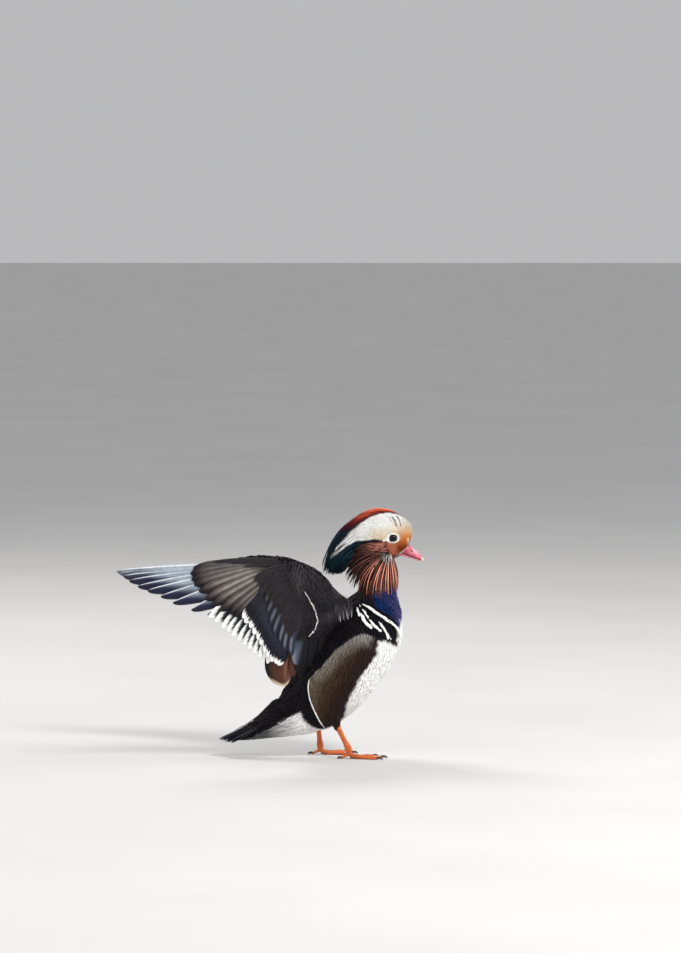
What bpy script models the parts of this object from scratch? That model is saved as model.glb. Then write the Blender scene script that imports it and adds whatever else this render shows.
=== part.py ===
"""A mandarin drake that stands upright with both wings lifted and half open, life size, as a still model.

Metres, +Z up. The bill points towards +X and the bird's left side towards +Y. Shapes are laid out in a
bird frame whose plane y = 0 runs between the feet and whose z = 0 is the floor. At the end centre_on_floor
moves all of it, so that the origin lies on the floor under the middle of the whole model's box.
"""

import math
import random
from dataclasses import dataclass

import bmesh
import bpy
from mathutils import Matrix, Vector

MM = 0.001
GAP = 0.3 * MM  # between two nodes that touch
CORE_CLEAR = 0.05 * MM  # how near to the head's core the hackles are trimmed along the neck
SEED = 7

RIGHT, LEFT = -1, 1  # sign of y on each side of the bird

# Torso, neck and tail: sections across a spine in the plane y = 0.
TORSO_RINGS, TORSO_SEGMENTS = 15, 20
NECK_RINGS, NECK_SEGMENTS = 6, 16
TAIL_RINGS, TAIL_SEGMENTS = 9, 16
HEAD_RINGS, HEAD_SEGMENTS = 14, 20
BILL_RINGS, BILL_SEGMENTS = 9, 12

# Head furniture.
EYE_RADIUS = 6.0 * MM
EYE_PLACE = Vector((68.3, 15.6, 286.9)) * MM  # the left eye's centre
LID_RADIUS, LID_BEAD = 5.3 * MM, 0.85 * MM
MOUTH_BACK, MOUTH_FRONT = Vector((80.0, 0.0, 266.5)) * MM, Vector((107.9, 0.0, 256.3)) * MM
NOSTRIL_ALONG, NOSTRIL_UP, NOSTRIL_SIZE = 12.0 * MM, 6.6 * MM, Vector((2.1, 3.0, 0.9)) * MM

# Crest: rows of broad feathers down each side, from the crown to the nape.
CREST_ROWS, CREST_WIDTH, CREST_THICKNESS = 5, 17.0 * MM, 1.6 * MM
# Ruff: hackles fan from a point in the cheek, from straight back to down and a little forward.
RUFF_HEART, RUFF_REACH, RUFF_BULGE = Vector((62.0, 0.0, 268.0)), 59.5, 11.0  # mm
RUFF_BACK, RUFF_FRONT = math.radians(199), math.radians(286)
RUFF_COUNTS = (7, 4)
RUFF_WIDTH, RUFF_THICKNESS = 9.5 * MM, 1.3 * MM

# Feet and legs.
FOOT_SPREAD = 24.0 * MM  # from the middle plane to each foot
SOLE_CUT, JOINT_CUT = 60.0 * MM, 20.0 * MM
TOE_RADIUS = 2.7 * MM
WEB_THICKNESS = (1.2 * MM, 1.0 * MM)  # inner and outer web
WEB_SINK = 0.5 * MM  # how far each web reaches past the middle line of its toes

# Wing: a cambered surface hung on the wrist. a runs back along the hand, d down across the chord, h out of
# the back of the wing.
WRIST = Vector((-67.6, -85.0, 266.0)) * MM
WING_YAW, WING_TILT = math.radians(12), math.radians(6)
SHOULDER = Vector((6.5, -42.0, 205.0)) * MM
FAR_WING_PITCH, FAR_WING_ROLL, FAR_WING_DROP = math.radians(-0.5), math.radians(-9), 6.0 * MM
CAMBER, CAMBER_MIDDLE, CAMBER_CHORD = 10.0 * MM, 40.0 * MM, 80.0 * MM
ROOT_BEND, TIP_BEND, TIP_BEND_START = 4.2, 0.6, 100.0 * MM
SHINGLE = 0.12  # how steeply each vane's outer edge rises over its neighbour
VANE_THICKNESS = 0.6 * MM


@dataclass(frozen=True)
class Section:
    """One section of a loft: middle (x, z), its back's direction in degrees from +X, half sizes, in mm."""

    x: float
    z: float
    turn: float
    deep: float
    wide: float


@dataclass(frozen=True)
class Tier:
    """A row of like vanes: where they spring from, first to last, where their tips lie, their size, in mm."""

    count: int
    roots: tuple
    tips: tuple
    width: float
    height: float
    bow: float
    blunt: float = 0.5
    stations: int = 6
    outer_share: float = 0.36


TORSO = (
    Section(52.0, 226.0, 176, 15.0, 14.0),
    Section(48.5, 213.0, 172, 26.5, 25.0),
    Section(39.7, 187.2, 166, 43.5, 41.0),
    Section(29.3, 158.0, 168, 52.5, 51.0),
    Section(13.7, 130.0, 168, 55.2, 55.0),
    Section(-5.9, 100.8, 162, 52.6, 53.0),
    Section(-26.0, 76.7, 153, 46.5, 46.0),
    Section(-45.5, 60.5, 142, 40.0, 36.0),
    Section(-58.0, 52.0, 140, 26.0, 24.0),
)
NECK = (
    Section(47.0, 200.0, 176, 20.0, 19.0),
    Section(48.5, 216.0, 176, 25.0, 21.0),
    Section(46.0, 232.0, 178, 23.0, 20.0),
    Section(42.0, 252.0, 180, 21.0, 19.5),
    Section(42.0, 275.0, 180, 18.0, 15.0),
)
HEAD = (
    Section(93.6, 296.4, 90, 4.0, 3.0),
    Section(91.6, 294.0, 90, 12.0, 8.0),
    Section(86.0, 289.6, 90, 21.5, 13.0),
    Section(78.0, 289.3, 90, 28.0, 17.0),
    Section(67.6, 289.0, 90, 32.5, 20.0),
    Section(55.9, 287.5, 90, 35.0, 21.5),
    Section(42.9, 286.0, 90, 35.5, 21.5),
    Section(29.9, 283.4, 90, 34.0, 19.5),
    Section(18.2, 280.0, 90, 28.0, 15.5),
    Section(9.1, 277.0, 90, 19.0, 10.0),
    Section(3.9, 276.0, 90, 9.0, 4.0),
)
TAIL_CORE = (
    Section(-50.0, 58.0, 141, 24.0, 20.0),
    Section(-57.0, 54.0, 141, 35.0, 31.0),
    Section(-76.7, 45.5, 140, 28.0, 25.0),
    Section(-100.0, 36.5, 138, 18.0, 18.0),
    Section(-121.0, 28.6, 138, 10.0, 12.0),
    Section(-136.5, 24.0, 138, 4.5, 7.0),
    Section(-144.0, 21.8, 138, 1.5, 3.0),
)
SIDE_STEP = 0.3  # how much lower the tail's left feathers lie than their right fellows, mm
# Bill sections along the mouth line: distance along it, height above it (upper) or depth below it (lower),
# half width.
UPPER_BILL = ((-6.0, 10.0, 7.0), (0.0, 13.0, 7.5), (5.6, 12.8, 7.0), (11.0, 11.0, 6.0), (17.0, 9.0, 5.2),
              (23.4, 6.2, 4.9), (27.6, 4.0, 4.3), (29.6, 2.6, 3.0), (30.4, 1.6, 1.2))
LOWER_BILL = ((-6.0, 4.4, 6.0), (0.0, 4.2, 6.2), (8.0, 3.2, 5.6), (17.0, 2.6, 4.4), (24.0, 2.2, 4.0),
              (28.0, 1.7, 3.2), (29.2, 1.2, 1.6))

# Wing core: leading edge (a, d), trailing edge (a, d), half thickness, from the hand's tip to the shoulder.
WING_CORE = (
    ((64, -2), (64, 4), 1.4),
    ((45, -5), (42, 18), 2.6),
    ((22, -4), (24, 36), 3.6),
    ((0, -2), (14, 58), 4.6),
    ((-18, 5), (4, 80), 5.6),
    ((-37, 14), (-14, 100), 6.8),
    ((-54, 29), (-36, 112), 8.4),
    ((-70, 49), (-62, 104), 9.4),
    ((-92, 66), (-90, 90), 8.6),
)
CORE_CHORD = ((0.0, 0.0), (0.1, 0.72), (0.35, 1.0), (0.65, 0.62), (0.9, 0.22), (1.0, 0.0))

PRIMARIES = Tier(9, ((10, 16), (30, 13), (50, 12)),
                 ((102, 73), (144, 58), (174, 43), (198, 31), (213, 21), (221, 15)), 18.0, 0.0, 1.5, 0.6, 5)
SECONDARIES = Tier(7, ((5, 18), (-4, 46), (-13, 76)), ((100, 75), (79, 93), (58, 111), (38, 127), (24, 139)),
                   18.0, 0.0, 4.0, 0.7, 5)
PRIMARY_COVERTS = Tier(6, ((6, 18), (22, 12), (42, 6)),
                       ((66, 75), (94, 61), (111, 46), (123, 28), (123, 12)), 16.0, 2.6, 2.0, 0.65, 4)
SECONDARY_COVERTS = Tier(6, ((6, 22), (-3, 46), (-12, 74)), ((58, 78), (40, 102), (22, 129), (6, 143)),
                         17.0, 2.6, 3.0, 0.75, 4)
MEDIAN_COVERTS = Tier(4, ((6, 18), (-5, 42), (-14, 66)), ((36, 58), (23, 86), (11, 111), (4, 124)),
                      17.0, 4.6, 2.0, 0.75, 4)
UNDER_COVERTS = Tier(3, ((40, 8), (8, 16), (-12, 70)), ((112, 20), (66, 72), (6, 122)),
                     19.0, -2.6, 2.0, 0.65, 4)
ALULA = Tier(1, ((14, 2),), ((96, 1),), 10.0, 3.0, 1.0, 0.5, 4)
SAIL = Tier(1, ((-10, 84),), ((-5, 174),), 40.0, -2.6, 5.5, 0.62, 7, 0.64)
INNER_VANES = Tier(4, ((-16, 82), (-27, 86), (-42, 82), (-56, 78)),
                   ((-9, 148), (-26, 166), (-40, 146), (-54, 130)), 22.0, 2.0, -2.0, 0.65, 5)


# ---------------------------------------------------------------- meshes


def clear_scene():
    """Removes every object, mesh and collection that the file starts with."""
    for item in list(bpy.data.objects):
        bpy.data.objects.remove(item)
    for group in list(bpy.data.collections):
        bpy.data.collections.remove(group)


def new_object(name, mesh, collection):
    """Links an object with this mesh to the collection and returns it."""
    item = bpy.data.objects.new(name, mesh)
    collection.objects.link(item)
    return item


def mesh_from(name, points, faces):
    """A mesh from points and faces, with its faces turned outwards."""
    mesh = bpy.data.meshes.new(name)
    shape = bmesh.new()
    vertices = [shape.verts.new(point) for point in points]
    for face in faces:
        shape.faces.new([vertices[i] for i in face])
    bmesh.ops.recalc_face_normals(shape, faces=shape.faces)
    shape.to_mesh(mesh)
    shape.free()
    return mesh


def loft_mesh(name, rings):
    """A closed mesh through rings of equally many points, each end ring filled by a fan about its middle."""
    count = len(rings[0])
    points = [point for ring in rings for point in ring]
    faces = []
    for i in range(len(rings) - 1):
        for j in range(count):
            a, b = i * count + j, i * count + (j + 1) % count
            faces += [(a, b, b + count), (a, b + count, a + count)]
    for ring, start in ((rings[0], 0), (rings[-1], (len(rings) - 1) * count)):
        middle = len(points)
        points.append(sum(ring, Vector()) / count)
        faces += [(start + j, start + (j + 1) % count, middle) for j in range(count)]
    return mesh_from(name, points, faces)


def blend_through(rows, share):
    """A smooth (Catmull-Rom) value at share 0 to 1 of the way through rows of numbers."""
    place = share * (len(rows) - 1)
    i = min(int(place), len(rows) - 2)
    t = place - i
    before, here, there, after = (rows[min(max(k, 0), len(rows) - 1)] for k in (i - 1, i, i + 1, i + 2))
    return [
        0.5 * (2 * q + (r - p) * t + (2 * p - 5 * q + 4 * r - s) * t * t + (3 * q - p - 3 * r + s) * t ** 3)
        for p, q, r, s in zip(before, here, there, after)
    ]


def body_rings(sections, rings, segments, grow=0.0):
    """Rings of a body of oval sections across the plane y = 0, each half size made larger by grow."""
    rows = [(s.x, s.z, s.turn, s.deep, s.wide) for s in sections]
    made = []
    for i in range(rings):
        x, z, turn, deep, wide = blend_through(rows, i / (rings - 1))
        back = Vector((math.cos(math.radians(turn)), 0, math.sin(math.radians(turn))))
        middle = Vector((x, 0, z)) * MM
        deep, wide = deep * MM + grow, wide * MM + grow
        made.append([
            middle + back * (deep * math.cos(angle)) + Vector((0, wide * math.sin(angle), 0))
            for angle in (2 * math.pi * j / segments for j in range(segments))
        ])
    if grow:
        for end, inner in ((0, 1), (-1, -2)):
            away = (sum(made[end], Vector()) - sum(made[inner], Vector())).normalized() * grow
            made[end] = [point + away for point in made[end]]
    return made


def torso_mesh(grow=0.0):
    """The torso, or a copy grown all round to cut its neighbours clear."""
    return loft_mesh("torso", body_rings(TORSO, TORSO_RINGS, TORSO_SEGMENTS, grow))


def neck_mesh(grow=0.0):
    """The neck, or a copy grown all round."""
    return loft_mesh("neck", body_rings(NECK, NECK_RINGS, NECK_SEGMENTS, grow))


def head_mesh(grow=0.0):
    """The head without its feathers, or a copy grown all round."""
    return loft_mesh("head", body_rings(HEAD, HEAD_RINGS, HEAD_SEGMENTS, grow))


def blade_mesh(path, outer, inner, thick, across):
    """A flat closed blade along a path, with triangles split alike on both faces.

    outer and inner are its widths each side of the path, thick its thickness, across points to the outer.
    """
    rings = []
    for i, point in enumerate(path):
        ahead = (path[min(i + 1, len(path) - 1)] - path[max(i - 1, 0)]).normalized()
        side = across[i].normalized()
        face = ahead.cross(side).normalized() * (thick[i] / 2)
        high, low = point + side * outer[i], point - side * inner[i]
        rings.append([high + face, low + face, low - face, high - face])
    faces = []
    for i in range(len(rings) - 1):
        a, b = 4 * i, 4 * i + 4
        faces += [(a, a + 1, b + 1), (a, b + 1, b)]
        faces += [(a + 3, b + 2, a + 2), (a + 3, b + 3, b + 2)]
        faces += [(a + 1, a + 2, b + 2), (a + 1, b + 2, b + 1)]
        faces += [(a + 3, a, b), (a + 3, b, b + 3)]
    end = 4 * (len(rings) - 1)
    faces += [(0, 3, 2), (0, 2, 1), (end, end + 1, end + 2), (end, end + 2, end + 3)]
    return mesh_from("blade", [point for ring in rings for point in ring], faces)


def tube_mesh(points, radii, sides=8):
    """A closed tube of changing radius through points."""
    rings = []
    for i, point in enumerate(points):
        ahead = (points[min(i + 1, len(points) - 1)] - points[max(i - 1, 0)]).normalized()
        side = ahead.cross(Vector((0, 1, 0))).normalized()
        other = ahead.cross(side)
        turns = (2 * math.pi * j / sides for j in range(sides))
        rings.append([point + (side * math.cos(t) + other * math.sin(t)) * radii[i] for t in turns])
    return loft_mesh("tube", rings)


def ball_mesh(centre, radius, rings=8, segments=14):
    """A sphere with its poles along y."""
    mesh = bpy.data.meshes.new("ball")
    shape = bmesh.new()
    bmesh.ops.create_uvsphere(shape, u_segments=segments, v_segments=rings, radius=radius)
    bmesh.ops.rotate(shape, verts=shape.verts, matrix=Matrix.Rotation(math.radians(90), 3, "X"))
    bmesh.ops.translate(shape, verts=shape.verts, vec=centre)
    shape.to_mesh(mesh)
    shape.free()
    return mesh


def bead_mesh(centre, normal, ring_radius, bead_radius, ring_sides=16, bead_sides=6):
    """A ring of round section, for an eyelid."""
    side = normal.cross(Vector((0, 0, 1))).normalized()
    up = side.cross(normal)
    points = []
    for i in range(ring_sides):
        turn = 2 * math.pi * i / ring_sides
        out = side * math.cos(turn) + up * math.sin(turn)
        for j in range(bead_sides):
            roll = 2 * math.pi * j / bead_sides
            reach = ring_radius + bead_radius * math.cos(roll)
            points.append(centre + out * reach + normal * (bead_radius * math.sin(roll)))
    faces = []
    for i in range(ring_sides):
        for j in range(bead_sides):
            a, b = i * bead_sides, ((i + 1) % ring_sides) * bead_sides
            k = (j + 1) % bead_sides
            faces += [(a + j, a + k, b + k), (a + j, b + k, b + j)]
    return mesh_from("bead", points, faces)


# ---------------------------------------------------------------- joining and cutting


def combine(name, base, others, operation, collection, solver="MANIFOLD"):
    """Joins other meshes to a base mesh, or cuts them from it, in one Boolean, and returns the new mesh."""
    cutters = bpy.data.collections.new(name + "_pieces")
    bpy.context.scene.collection.children.link(cutters)
    for i, mesh in enumerate(others):
        new_object(f"{name}_piece_{i}", mesh, cutters)
    item = new_object(name + "_base", base, collection)
    modifier = item.modifiers.new("combine", "BOOLEAN")
    modifier.operation = operation
    modifier.operand_type = "COLLECTION"
    modifier.collection = cutters
    modifier.solver = solver
    bpy.context.view_layer.update()
    graph = bpy.context.evaluated_depsgraph_get()
    made = bpy.data.meshes.new_from_object(item.evaluated_get(graph))
    bpy.data.objects.remove(item)
    for piece in list(cutters.objects):
        bpy.data.objects.remove(piece)
    bpy.data.collections.remove(cutters)
    return made


def shells_of(shape):
    """The separate surfaces of a bmesh, each a list of faces."""
    left, found = set(shape.faces), []
    while left:
        todo, shell = [left.pop()], []
        while todo:
            face = todo.pop()
            shell.append(face)
            for edge in face.edges:
                near = [other for other in edge.link_faces if other in left]
                left.difference_update(near)
                todo += near
        found.append(shell)
    return found


def keep_largest(mesh):
    """Keeps only the mesh's surface of largest volume, and splits its faces into triangles."""
    shape = bmesh.new()
    shape.from_mesh(mesh)
    bmesh.ops.triangulate(shape, faces=shape.faces)

    def volume(shell):
        return sum(f.verts[0].co.dot(f.verts[1].co.cross(f.verts[2].co)) for f in shell) / 6

    shells = sorted(shells_of(shape), key=volume)
    for shell in shells[:-1]:
        bmesh.ops.delete(shape, geom=shell, context="FACES")
    bmesh.ops.dissolve_degenerate(shape, dist=0.004 * MM, edges=shape.edges)
    bmesh.ops.triangulate(shape, faces=shape.faces)
    shape.to_mesh(mesh)
    shape.free()
    return mesh


def finish_node(name, mesh, collection, colour, roughness=0.6, sharp=40):
    """Makes the mesh a node, smooth but for its sharp edges, with its own material."""
    mesh.name = name
    mesh.materials.clear()
    mesh.materials.append(material(name, colour, roughness))
    mesh.shade_smooth()
    mesh.set_sharp_from_angle(angle=math.radians(sharp))
    return new_object(name, mesh, collection)


def material(name, colour, roughness):
    """A plain material for a node."""
    made = bpy.data.materials.new(name)
    made.use_nodes = True
    shader = made.node_tree.nodes["Principled BSDF"]
    shader.inputs["Base Color"].default_value = (*colour, 1)
    shader.inputs["Roughness"].default_value = roughness
    shader.inputs["Metallic"].default_value = 0.0
    return made


def mirrored(mesh):
    """A copy of the mesh on the bird's other side."""
    copy = mesh.copy()
    copy.transform(Matrix.Scale(-1, 4, Vector((0, 1, 0))))
    copy.flip_normals()
    return copy


# ---------------------------------------------------------------- curves and tiers


def bezier(points, t):
    """A point at t on the Bezier curve of any order with these control points."""
    points = [Vector(p) for p in points]
    while len(points) > 1:
        points = [a.lerp(b, t) for a, b in zip(points, points[1:])]
    return points[0]


def tip_heavy(t):
    """Moves a station at t towards the tip, where a vane's outline turns fastest."""
    return 1 - (1 - t) ** 1.7


def vane_profile(t, blunt):
    """Width of a vane, from 0 to 1, at t along it: narrow at the quill, full midway, closed at its tip."""
    quill = min(1.0, 0.34 + 2.2 * t)
    close = max(0.0, 1 - ((t - blunt) / (1 - blunt)) ** 2) if t > blunt else 1.0
    return max(0.16, quill * math.sqrt(close))


# ---------------------------------------------------------------- wing


def wing_axes():
    """The right wing's directions: back along the hand, down across the chord, and out of its upper side."""
    back = Vector((-math.cos(WING_YAW), -math.sin(WING_YAW), 0))
    out = Vector((math.sin(WING_YAW), -math.cos(WING_YAW), 0))
    down = Vector((0, 0, -1)) * math.cos(WING_TILT) - out * math.sin(WING_TILT)
    return back, down, back.cross(down)


def wing_point(a, d, h):
    """The place of a point a back, d down and h above the right wing's cambered surface."""
    back, down, out = wing_axes()
    sag = CAMBER * ((d - CAMBER_MIDDLE) / CAMBER_CHORD) ** 2
    sag += ROOT_BEND * min(a, 0.0) ** 2 + TIP_BEND * max(a - TIP_BEND_START, 0.0) ** 2
    return WRIST + back * a + down * d + out * (h - sag)


def vane_mesh(root, tip, tier, ease=1.0):
    """A vane of a tier laid on the right wing from root to tip, each (a, d) in mm, ease times as wide."""
    root, tip = Vector(root) * MM, Vector(tip) * MM
    along = tip - root
    outward = Vector((along.y, -along.x)).normalized()
    path, outer, inner, thick, across = [], [], [], [], []
    for i in range(tier.stations):
        t = tip_heavy(i / (tier.stations - 1))
        spot = root + along * t + outward * (tier.bow * MM * 4 * t * (1 - t))
        full = tier.width * ease * MM * vane_profile(t, tier.blunt)
        rise = tier.height * MM * (1 - 0.2 * t)
        path.append(wing_point(spot.x, spot.y, rise))
        edge = spot + outward * MM
        across.append(wing_point(edge.x, edge.y, rise + SHINGLE * MM) - path[-1])
        outer.append(full * tier.outer_share)
        inner.append(full * (1 - tier.outer_share))
        thick.append(VANE_THICKNESS * (1.5 - 0.6 * t))
    return blade_mesh(path, outer, inner, thick, across)


def tier_meshes(tier, draw):
    """The vanes of one tier, each varied a little."""
    made = []
    for i in range(tier.count):
        share = i / max(1, tier.count - 1)
        root = blend_through(tier.roots, share)
        spread = Vector((draw.uniform(-1.2, 1.2), draw.uniform(-0.8, 0.8)))
        tip = Vector(blend_through(tier.tips, share)) + spread
        made.append(vane_mesh(root, tip, tier, draw.uniform(0.95, 1.05)))
    return made


def listed_meshes(tier):
    """The vanes of a tier whose roots and tips are given one by one."""
    return [vane_mesh(root, tip, tier) for root, tip in zip(tier.roots, tier.tips)]


def wing_core_mesh():
    """The arm, the skin between its bones and the small feathers on it, as one lens from hand to shoulder."""
    rings = []
    for lead, trail, thick in WING_CORE:
        lead, trail = Vector(lead) * MM, Vector(trail) * MM
        upper = [(c, p) for c, p in CORE_CHORD]
        lower = [(c, -p) for c, p in reversed(CORE_CHORD[1:-1])]
        ring = []
        for chord, share in upper + lower:
            spot = lead.lerp(trail, chord)
            ring.append(wing_point(spot.x, spot.y, share * thick * MM))
        rings.append(ring)
    return loft_mesh("wing_core", rings)


def right_wing_mesh(collection):
    """The whole right wing: arm, tiers of vanes and the chestnut sail, as one closed body."""
    draw = random.Random(SEED)
    pieces = []
    for tier in (PRIMARIES, SECONDARIES, PRIMARY_COVERTS, SECONDARY_COVERTS, MEDIAN_COVERTS, UNDER_COVERTS):
        pieces += tier_meshes(tier, draw)
    for tier in (ALULA, SAIL, INNER_VANES):
        pieces += listed_meshes(tier)
    return combine("wing", wing_core_mesh(), pieces, "UNION", collection)


def lower_far_wing(mesh):
    """Turns the left wing about its shoulder, a little lower than the right one."""
    pivot = Vector((SHOULDER.x, -SHOULDER.y, SHOULDER.z))
    turn = Matrix.Rotation(FAR_WING_ROLL, 4, "X") @ Matrix.Rotation(FAR_WING_PITCH, 4, "Y")
    fall = Matrix.Translation((0, 0, -FAR_WING_DROP))
    mesh.transform(fall @ Matrix.Translation(pivot) @ turn @ Matrix.Translation(-pivot))
    return mesh


def build_wings(collection):
    """Both wings, cut back to the torso's sides."""
    right = right_wing_mesh(collection)
    left = lower_far_wing(mirrored(right))
    for name, mesh in (("wing_right", right), ("wing_left", left)):
        mesh = combine(name, mesh, [torso_mesh(GAP)], "DIFFERENCE", collection)
        finish_node(name, keep_largest(mesh), collection, (0.05, 0.045, 0.05))


# ---------------------------------------------------------------- head


def lock_mesh(bend, normal, width, thick, stations=5, blunt=0.35):
    """A flat tapered lock or crest feather on a curve of three points in mm, its face turned to normal."""
    bend = [point * MM for point in bend]
    path = [bezier(bend, i / (stations - 1)) for i in range(stations)]
    half, deep, across = [], [], []
    for i, point in enumerate(path):
        t = i / (stations - 1)
        ahead = path[min(i + 1, stations - 1)] - path[max(i - 1, 0)]
        across.append(normal.cross(ahead))
        half.append(width / 2 * vane_profile(t, blunt))
        deep.append(thick * (1.1 - 0.6 * t))
    return blade_mesh(path, half, half, deep, across)


def crest_meshes():
    """The crest: long feathers that spring from crown and nape and sweep back and down to one blunt end."""
    made = []
    for row in range(CREST_ROWS):
        low = row / (CREST_ROWS - 1)
        top = 1 - low
        flare = 5 + 11 * math.sin(math.pi * (0.12 + 0.62 * low))
        normal_out = 0.35 + 0.65 * low
        for side in (RIGHT, LEFT):
            root = Vector((40 - 14 * low, side * flare * 0.8, 319 - 60 * low))
            control = Vector((-5 + 14 * low, side * (flare + 1.5), 310 - 54 * low))
            tip = Vector((-21 + 24 * low, side * (2.2 + 5.0 * low), 246 - 5 * math.sin(math.pi * low)))
            normal = Vector((-0.5 * top, side * normal_out, 0.85 * top))
            made.append(lock_mesh((root, control, tip), normal, CREST_WIDTH, CREST_THICKNESS, 5, 0.45))
    for step in range(3):  # the middle line of the crown, each feather lying over the next
        root = Vector((66 - 18 * step, 0, 318 - 2 * step * step))
        tip = Vector((18 - 18 * step, 0, 309 - 16 * step - 6 * step * step))
        control = root.lerp(tip, 0.5) + Vector((-1, 0, 6))
        normal = Vector((-0.4, 0, 1))
        made.append(lock_mesh((root, control, tip), normal, CREST_WIDTH, CREST_THICKNESS, 5, 0.5))
    return made


def ruff_meshes(draw):
    """The ruff: narrow pointed hackles that fan from the cheek over the side of the neck, in two layers."""
    made = []
    for side in (RIGHT, LEFT):
        for layer, count in enumerate(RUFF_COUNTS):
            for i in range(count):
                share = (i + 0.5 * layer) / (count - 1 + layer)
                sweep = RUFF_BACK + (RUFF_FRONT - RUFF_BACK) * share
                way = Vector((math.cos(sweep), 0, math.sin(sweep)))
                bulge = RUFF_BULGE * math.exp(-(((share - 0.36) / 0.24) ** 2))
                reach = (RUFF_REACH + bulge - 8 * share ** 3 - 7 * layer) * draw.uniform(0.95, 1.03)
                lift = 2.4 * layer + 1.7 * (i % 2)  # neighbours lie one above the other
                flare = 19.0 - 5 * share ** 4 + lift
                root = RUFF_HEART + way * 7 + Vector((0, side * (11.0 + lift), 0))
                control = RUFF_HEART + way * (0.5 * reach) + Vector((0, side * (flare + 6), 0))
                tip = RUFF_HEART + way * reach + Vector((0, side * (flare + 3.5), 0))
                normal = Vector((0.35 * share, side, -0.15))
                made.append(lock_mesh((root, control, tip), normal, RUFF_WIDTH, RUFF_THICKNESS, 4, 0.3))
    return made


def eye_place(side):
    """The centre of the eye on this side."""
    return Vector((EYE_PLACE.x, side * EYE_PLACE.y, EYE_PLACE.z))


def bill_point(along, up, wide):
    """A point of the bill, along the mouth line, above it and to the side."""
    ahead = (MOUTH_FRONT - MOUTH_BACK).normalized()
    rise = Vector((-ahead.z, 0, ahead.x))
    return MOUTH_BACK + ahead * along + rise * up + Vector((0, wide, 0))


def bill_mesh(rows, sign, grow=0.0):
    """One half of the bill: flat at the mouth line, domed above it (sign 1) or below it (sign -1)."""
    rings = []
    for i in range(BILL_RINGS):
        along, high, wide = (value * MM for value in blend_through(rows, i / (BILL_RINGS - 1)))
        ring = []
        for j in range(BILL_SEGMENTS):
            turn = 2 * math.pi * j / BILL_SEGMENTS
            rise = (high + 2 * grow) * (0.5 - 0.5 * math.cos(turn)) - grow
            side = (wide + grow) * math.sin(turn) * (1.0 - 0.22 * rise / (high + grow))
            ring.append(bill_point(along, sign * (GAP / 2 + rise), side))
        rings.append(ring)
    return loft_mesh("bill", rings)


def nostril_meshes():
    """Cutters for the two nostrils, as flat ovals through the upper bill's sides."""
    made = []
    for side in (RIGHT, LEFT):
        mesh = ball_mesh(Vector(), 1.0, 6, 10)
        mesh.transform(Matrix.Diagonal((*NOSTRIL_SIZE, 1)))
        mesh.transform(Matrix.Rotation(math.radians(20), 4, "Y"))
        mesh.transform(Matrix.Translation(bill_point(NOSTRIL_ALONG, NOSTRIL_UP, side * 6.6 * MM)))
        made.append(mesh)
    return made


def build_head(collection):
    """Head with crest, ruff and lids, two eyes and the two halves of the bill."""
    draw = random.Random(SEED + 1)
    lids = []
    for side in (RIGHT, LEFT):
        normal = Vector((0.12, side, 0.05)).normalized()
        lids.append(bead_mesh(eye_place(side) + normal * 3.9 * MM, normal, LID_RADIUS, LID_BEAD))
    joined = combine("head", head_mesh(), crest_meshes() + ruff_meshes(draw) + lids, "UNION", collection)
    round_neck = combine("round_neck", neck_mesh(GAP), [head_mesh(CORE_CLEAR)], "DIFFERENCE", collection)
    cutters = [round_neck, torso_mesh(GAP), bill_mesh(UPPER_BILL, 1, GAP), bill_mesh(LOWER_BILL, -1, GAP)]
    cutters += [ball_mesh(eye_place(side), EYE_RADIUS + GAP) for side in (RIGHT, LEFT)]
    joined = combine("head", joined, cutters, "DIFFERENCE", collection)
    finish_node("head", keep_largest(joined), collection, (0.62, 0.25, 0.09))
    for name, side in (("eye_right", RIGHT), ("eye_left", LEFT)):
        ball = keep_largest(ball_mesh(eye_place(side), EYE_RADIUS))
        finish_node(name, ball, collection, (0.02, 0.012, 0.01), 0.1)
    upper = combine("bill_upper", bill_mesh(UPPER_BILL, 1), nostril_meshes(), "DIFFERENCE", collection)
    finish_node("bill_upper", keep_largest(upper), collection, (0.75, 0.16, 0.17), 0.35)
    finish_node("bill_lower", keep_largest(bill_mesh(LOWER_BILL, -1)), collection, (0.7, 0.2, 0.2), 0.35)


# ---------------------------------------------------------------- torso, neck and tail


def build_torso(collection):
    """The torso, and the neck between it and the head."""
    finish_node("torso", keep_largest(torso_mesh()), collection, (0.45, 0.4, 0.34))
    neck = combine("neck", neck_mesh(), [torso_mesh(GAP), head_mesh(GAP)], "DIFFERENCE", collection)
    finish_node("neck", keep_largest(neck), collection, (0.12, 0.05, 0.16))


def tail_vane_mesh(root, tip, wide, blunt=0.62, stations=5):
    """A level tail feather or covert from root to tip."""
    shares = [tip_heavy(i / (stations - 1)) for i in range(stations)]
    path = [root.lerp(tip, t) for t in shares]
    widths = [wide / 2 * vane_profile(t, blunt) for t in shares]
    thick = [VANE_THICKNESS * (1.3 - 0.3 * t) for t in shares]
    return blade_mesh(path, widths, widths, thick, [Vector((0, 1, 0))] * stations)


def tail_fan(count, root, tip, half, fall, shorter, wide):
    """A row of tail vanes, the middle one on top and longest, each one further out under it. Places in mm."""
    made = []
    for i in range(count):
        share = 2 * i / (count - 1) - 1  # -1 at the right, 1 at the left
        start = Vector((root[0], share * half[0], root[1] - abs(share) * fall[0] - SIDE_STEP * (share > 0)))
        low = abs(share) * fall[1] + SIDE_STEP * (share > 0)
        end = Vector((tip[0] + shorter * abs(share) ** 1.6, share * half[1], tip[1] - low))
        made.append(tail_vane_mesh(start * MM, end * MM, wide * MM))
    return made


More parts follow.
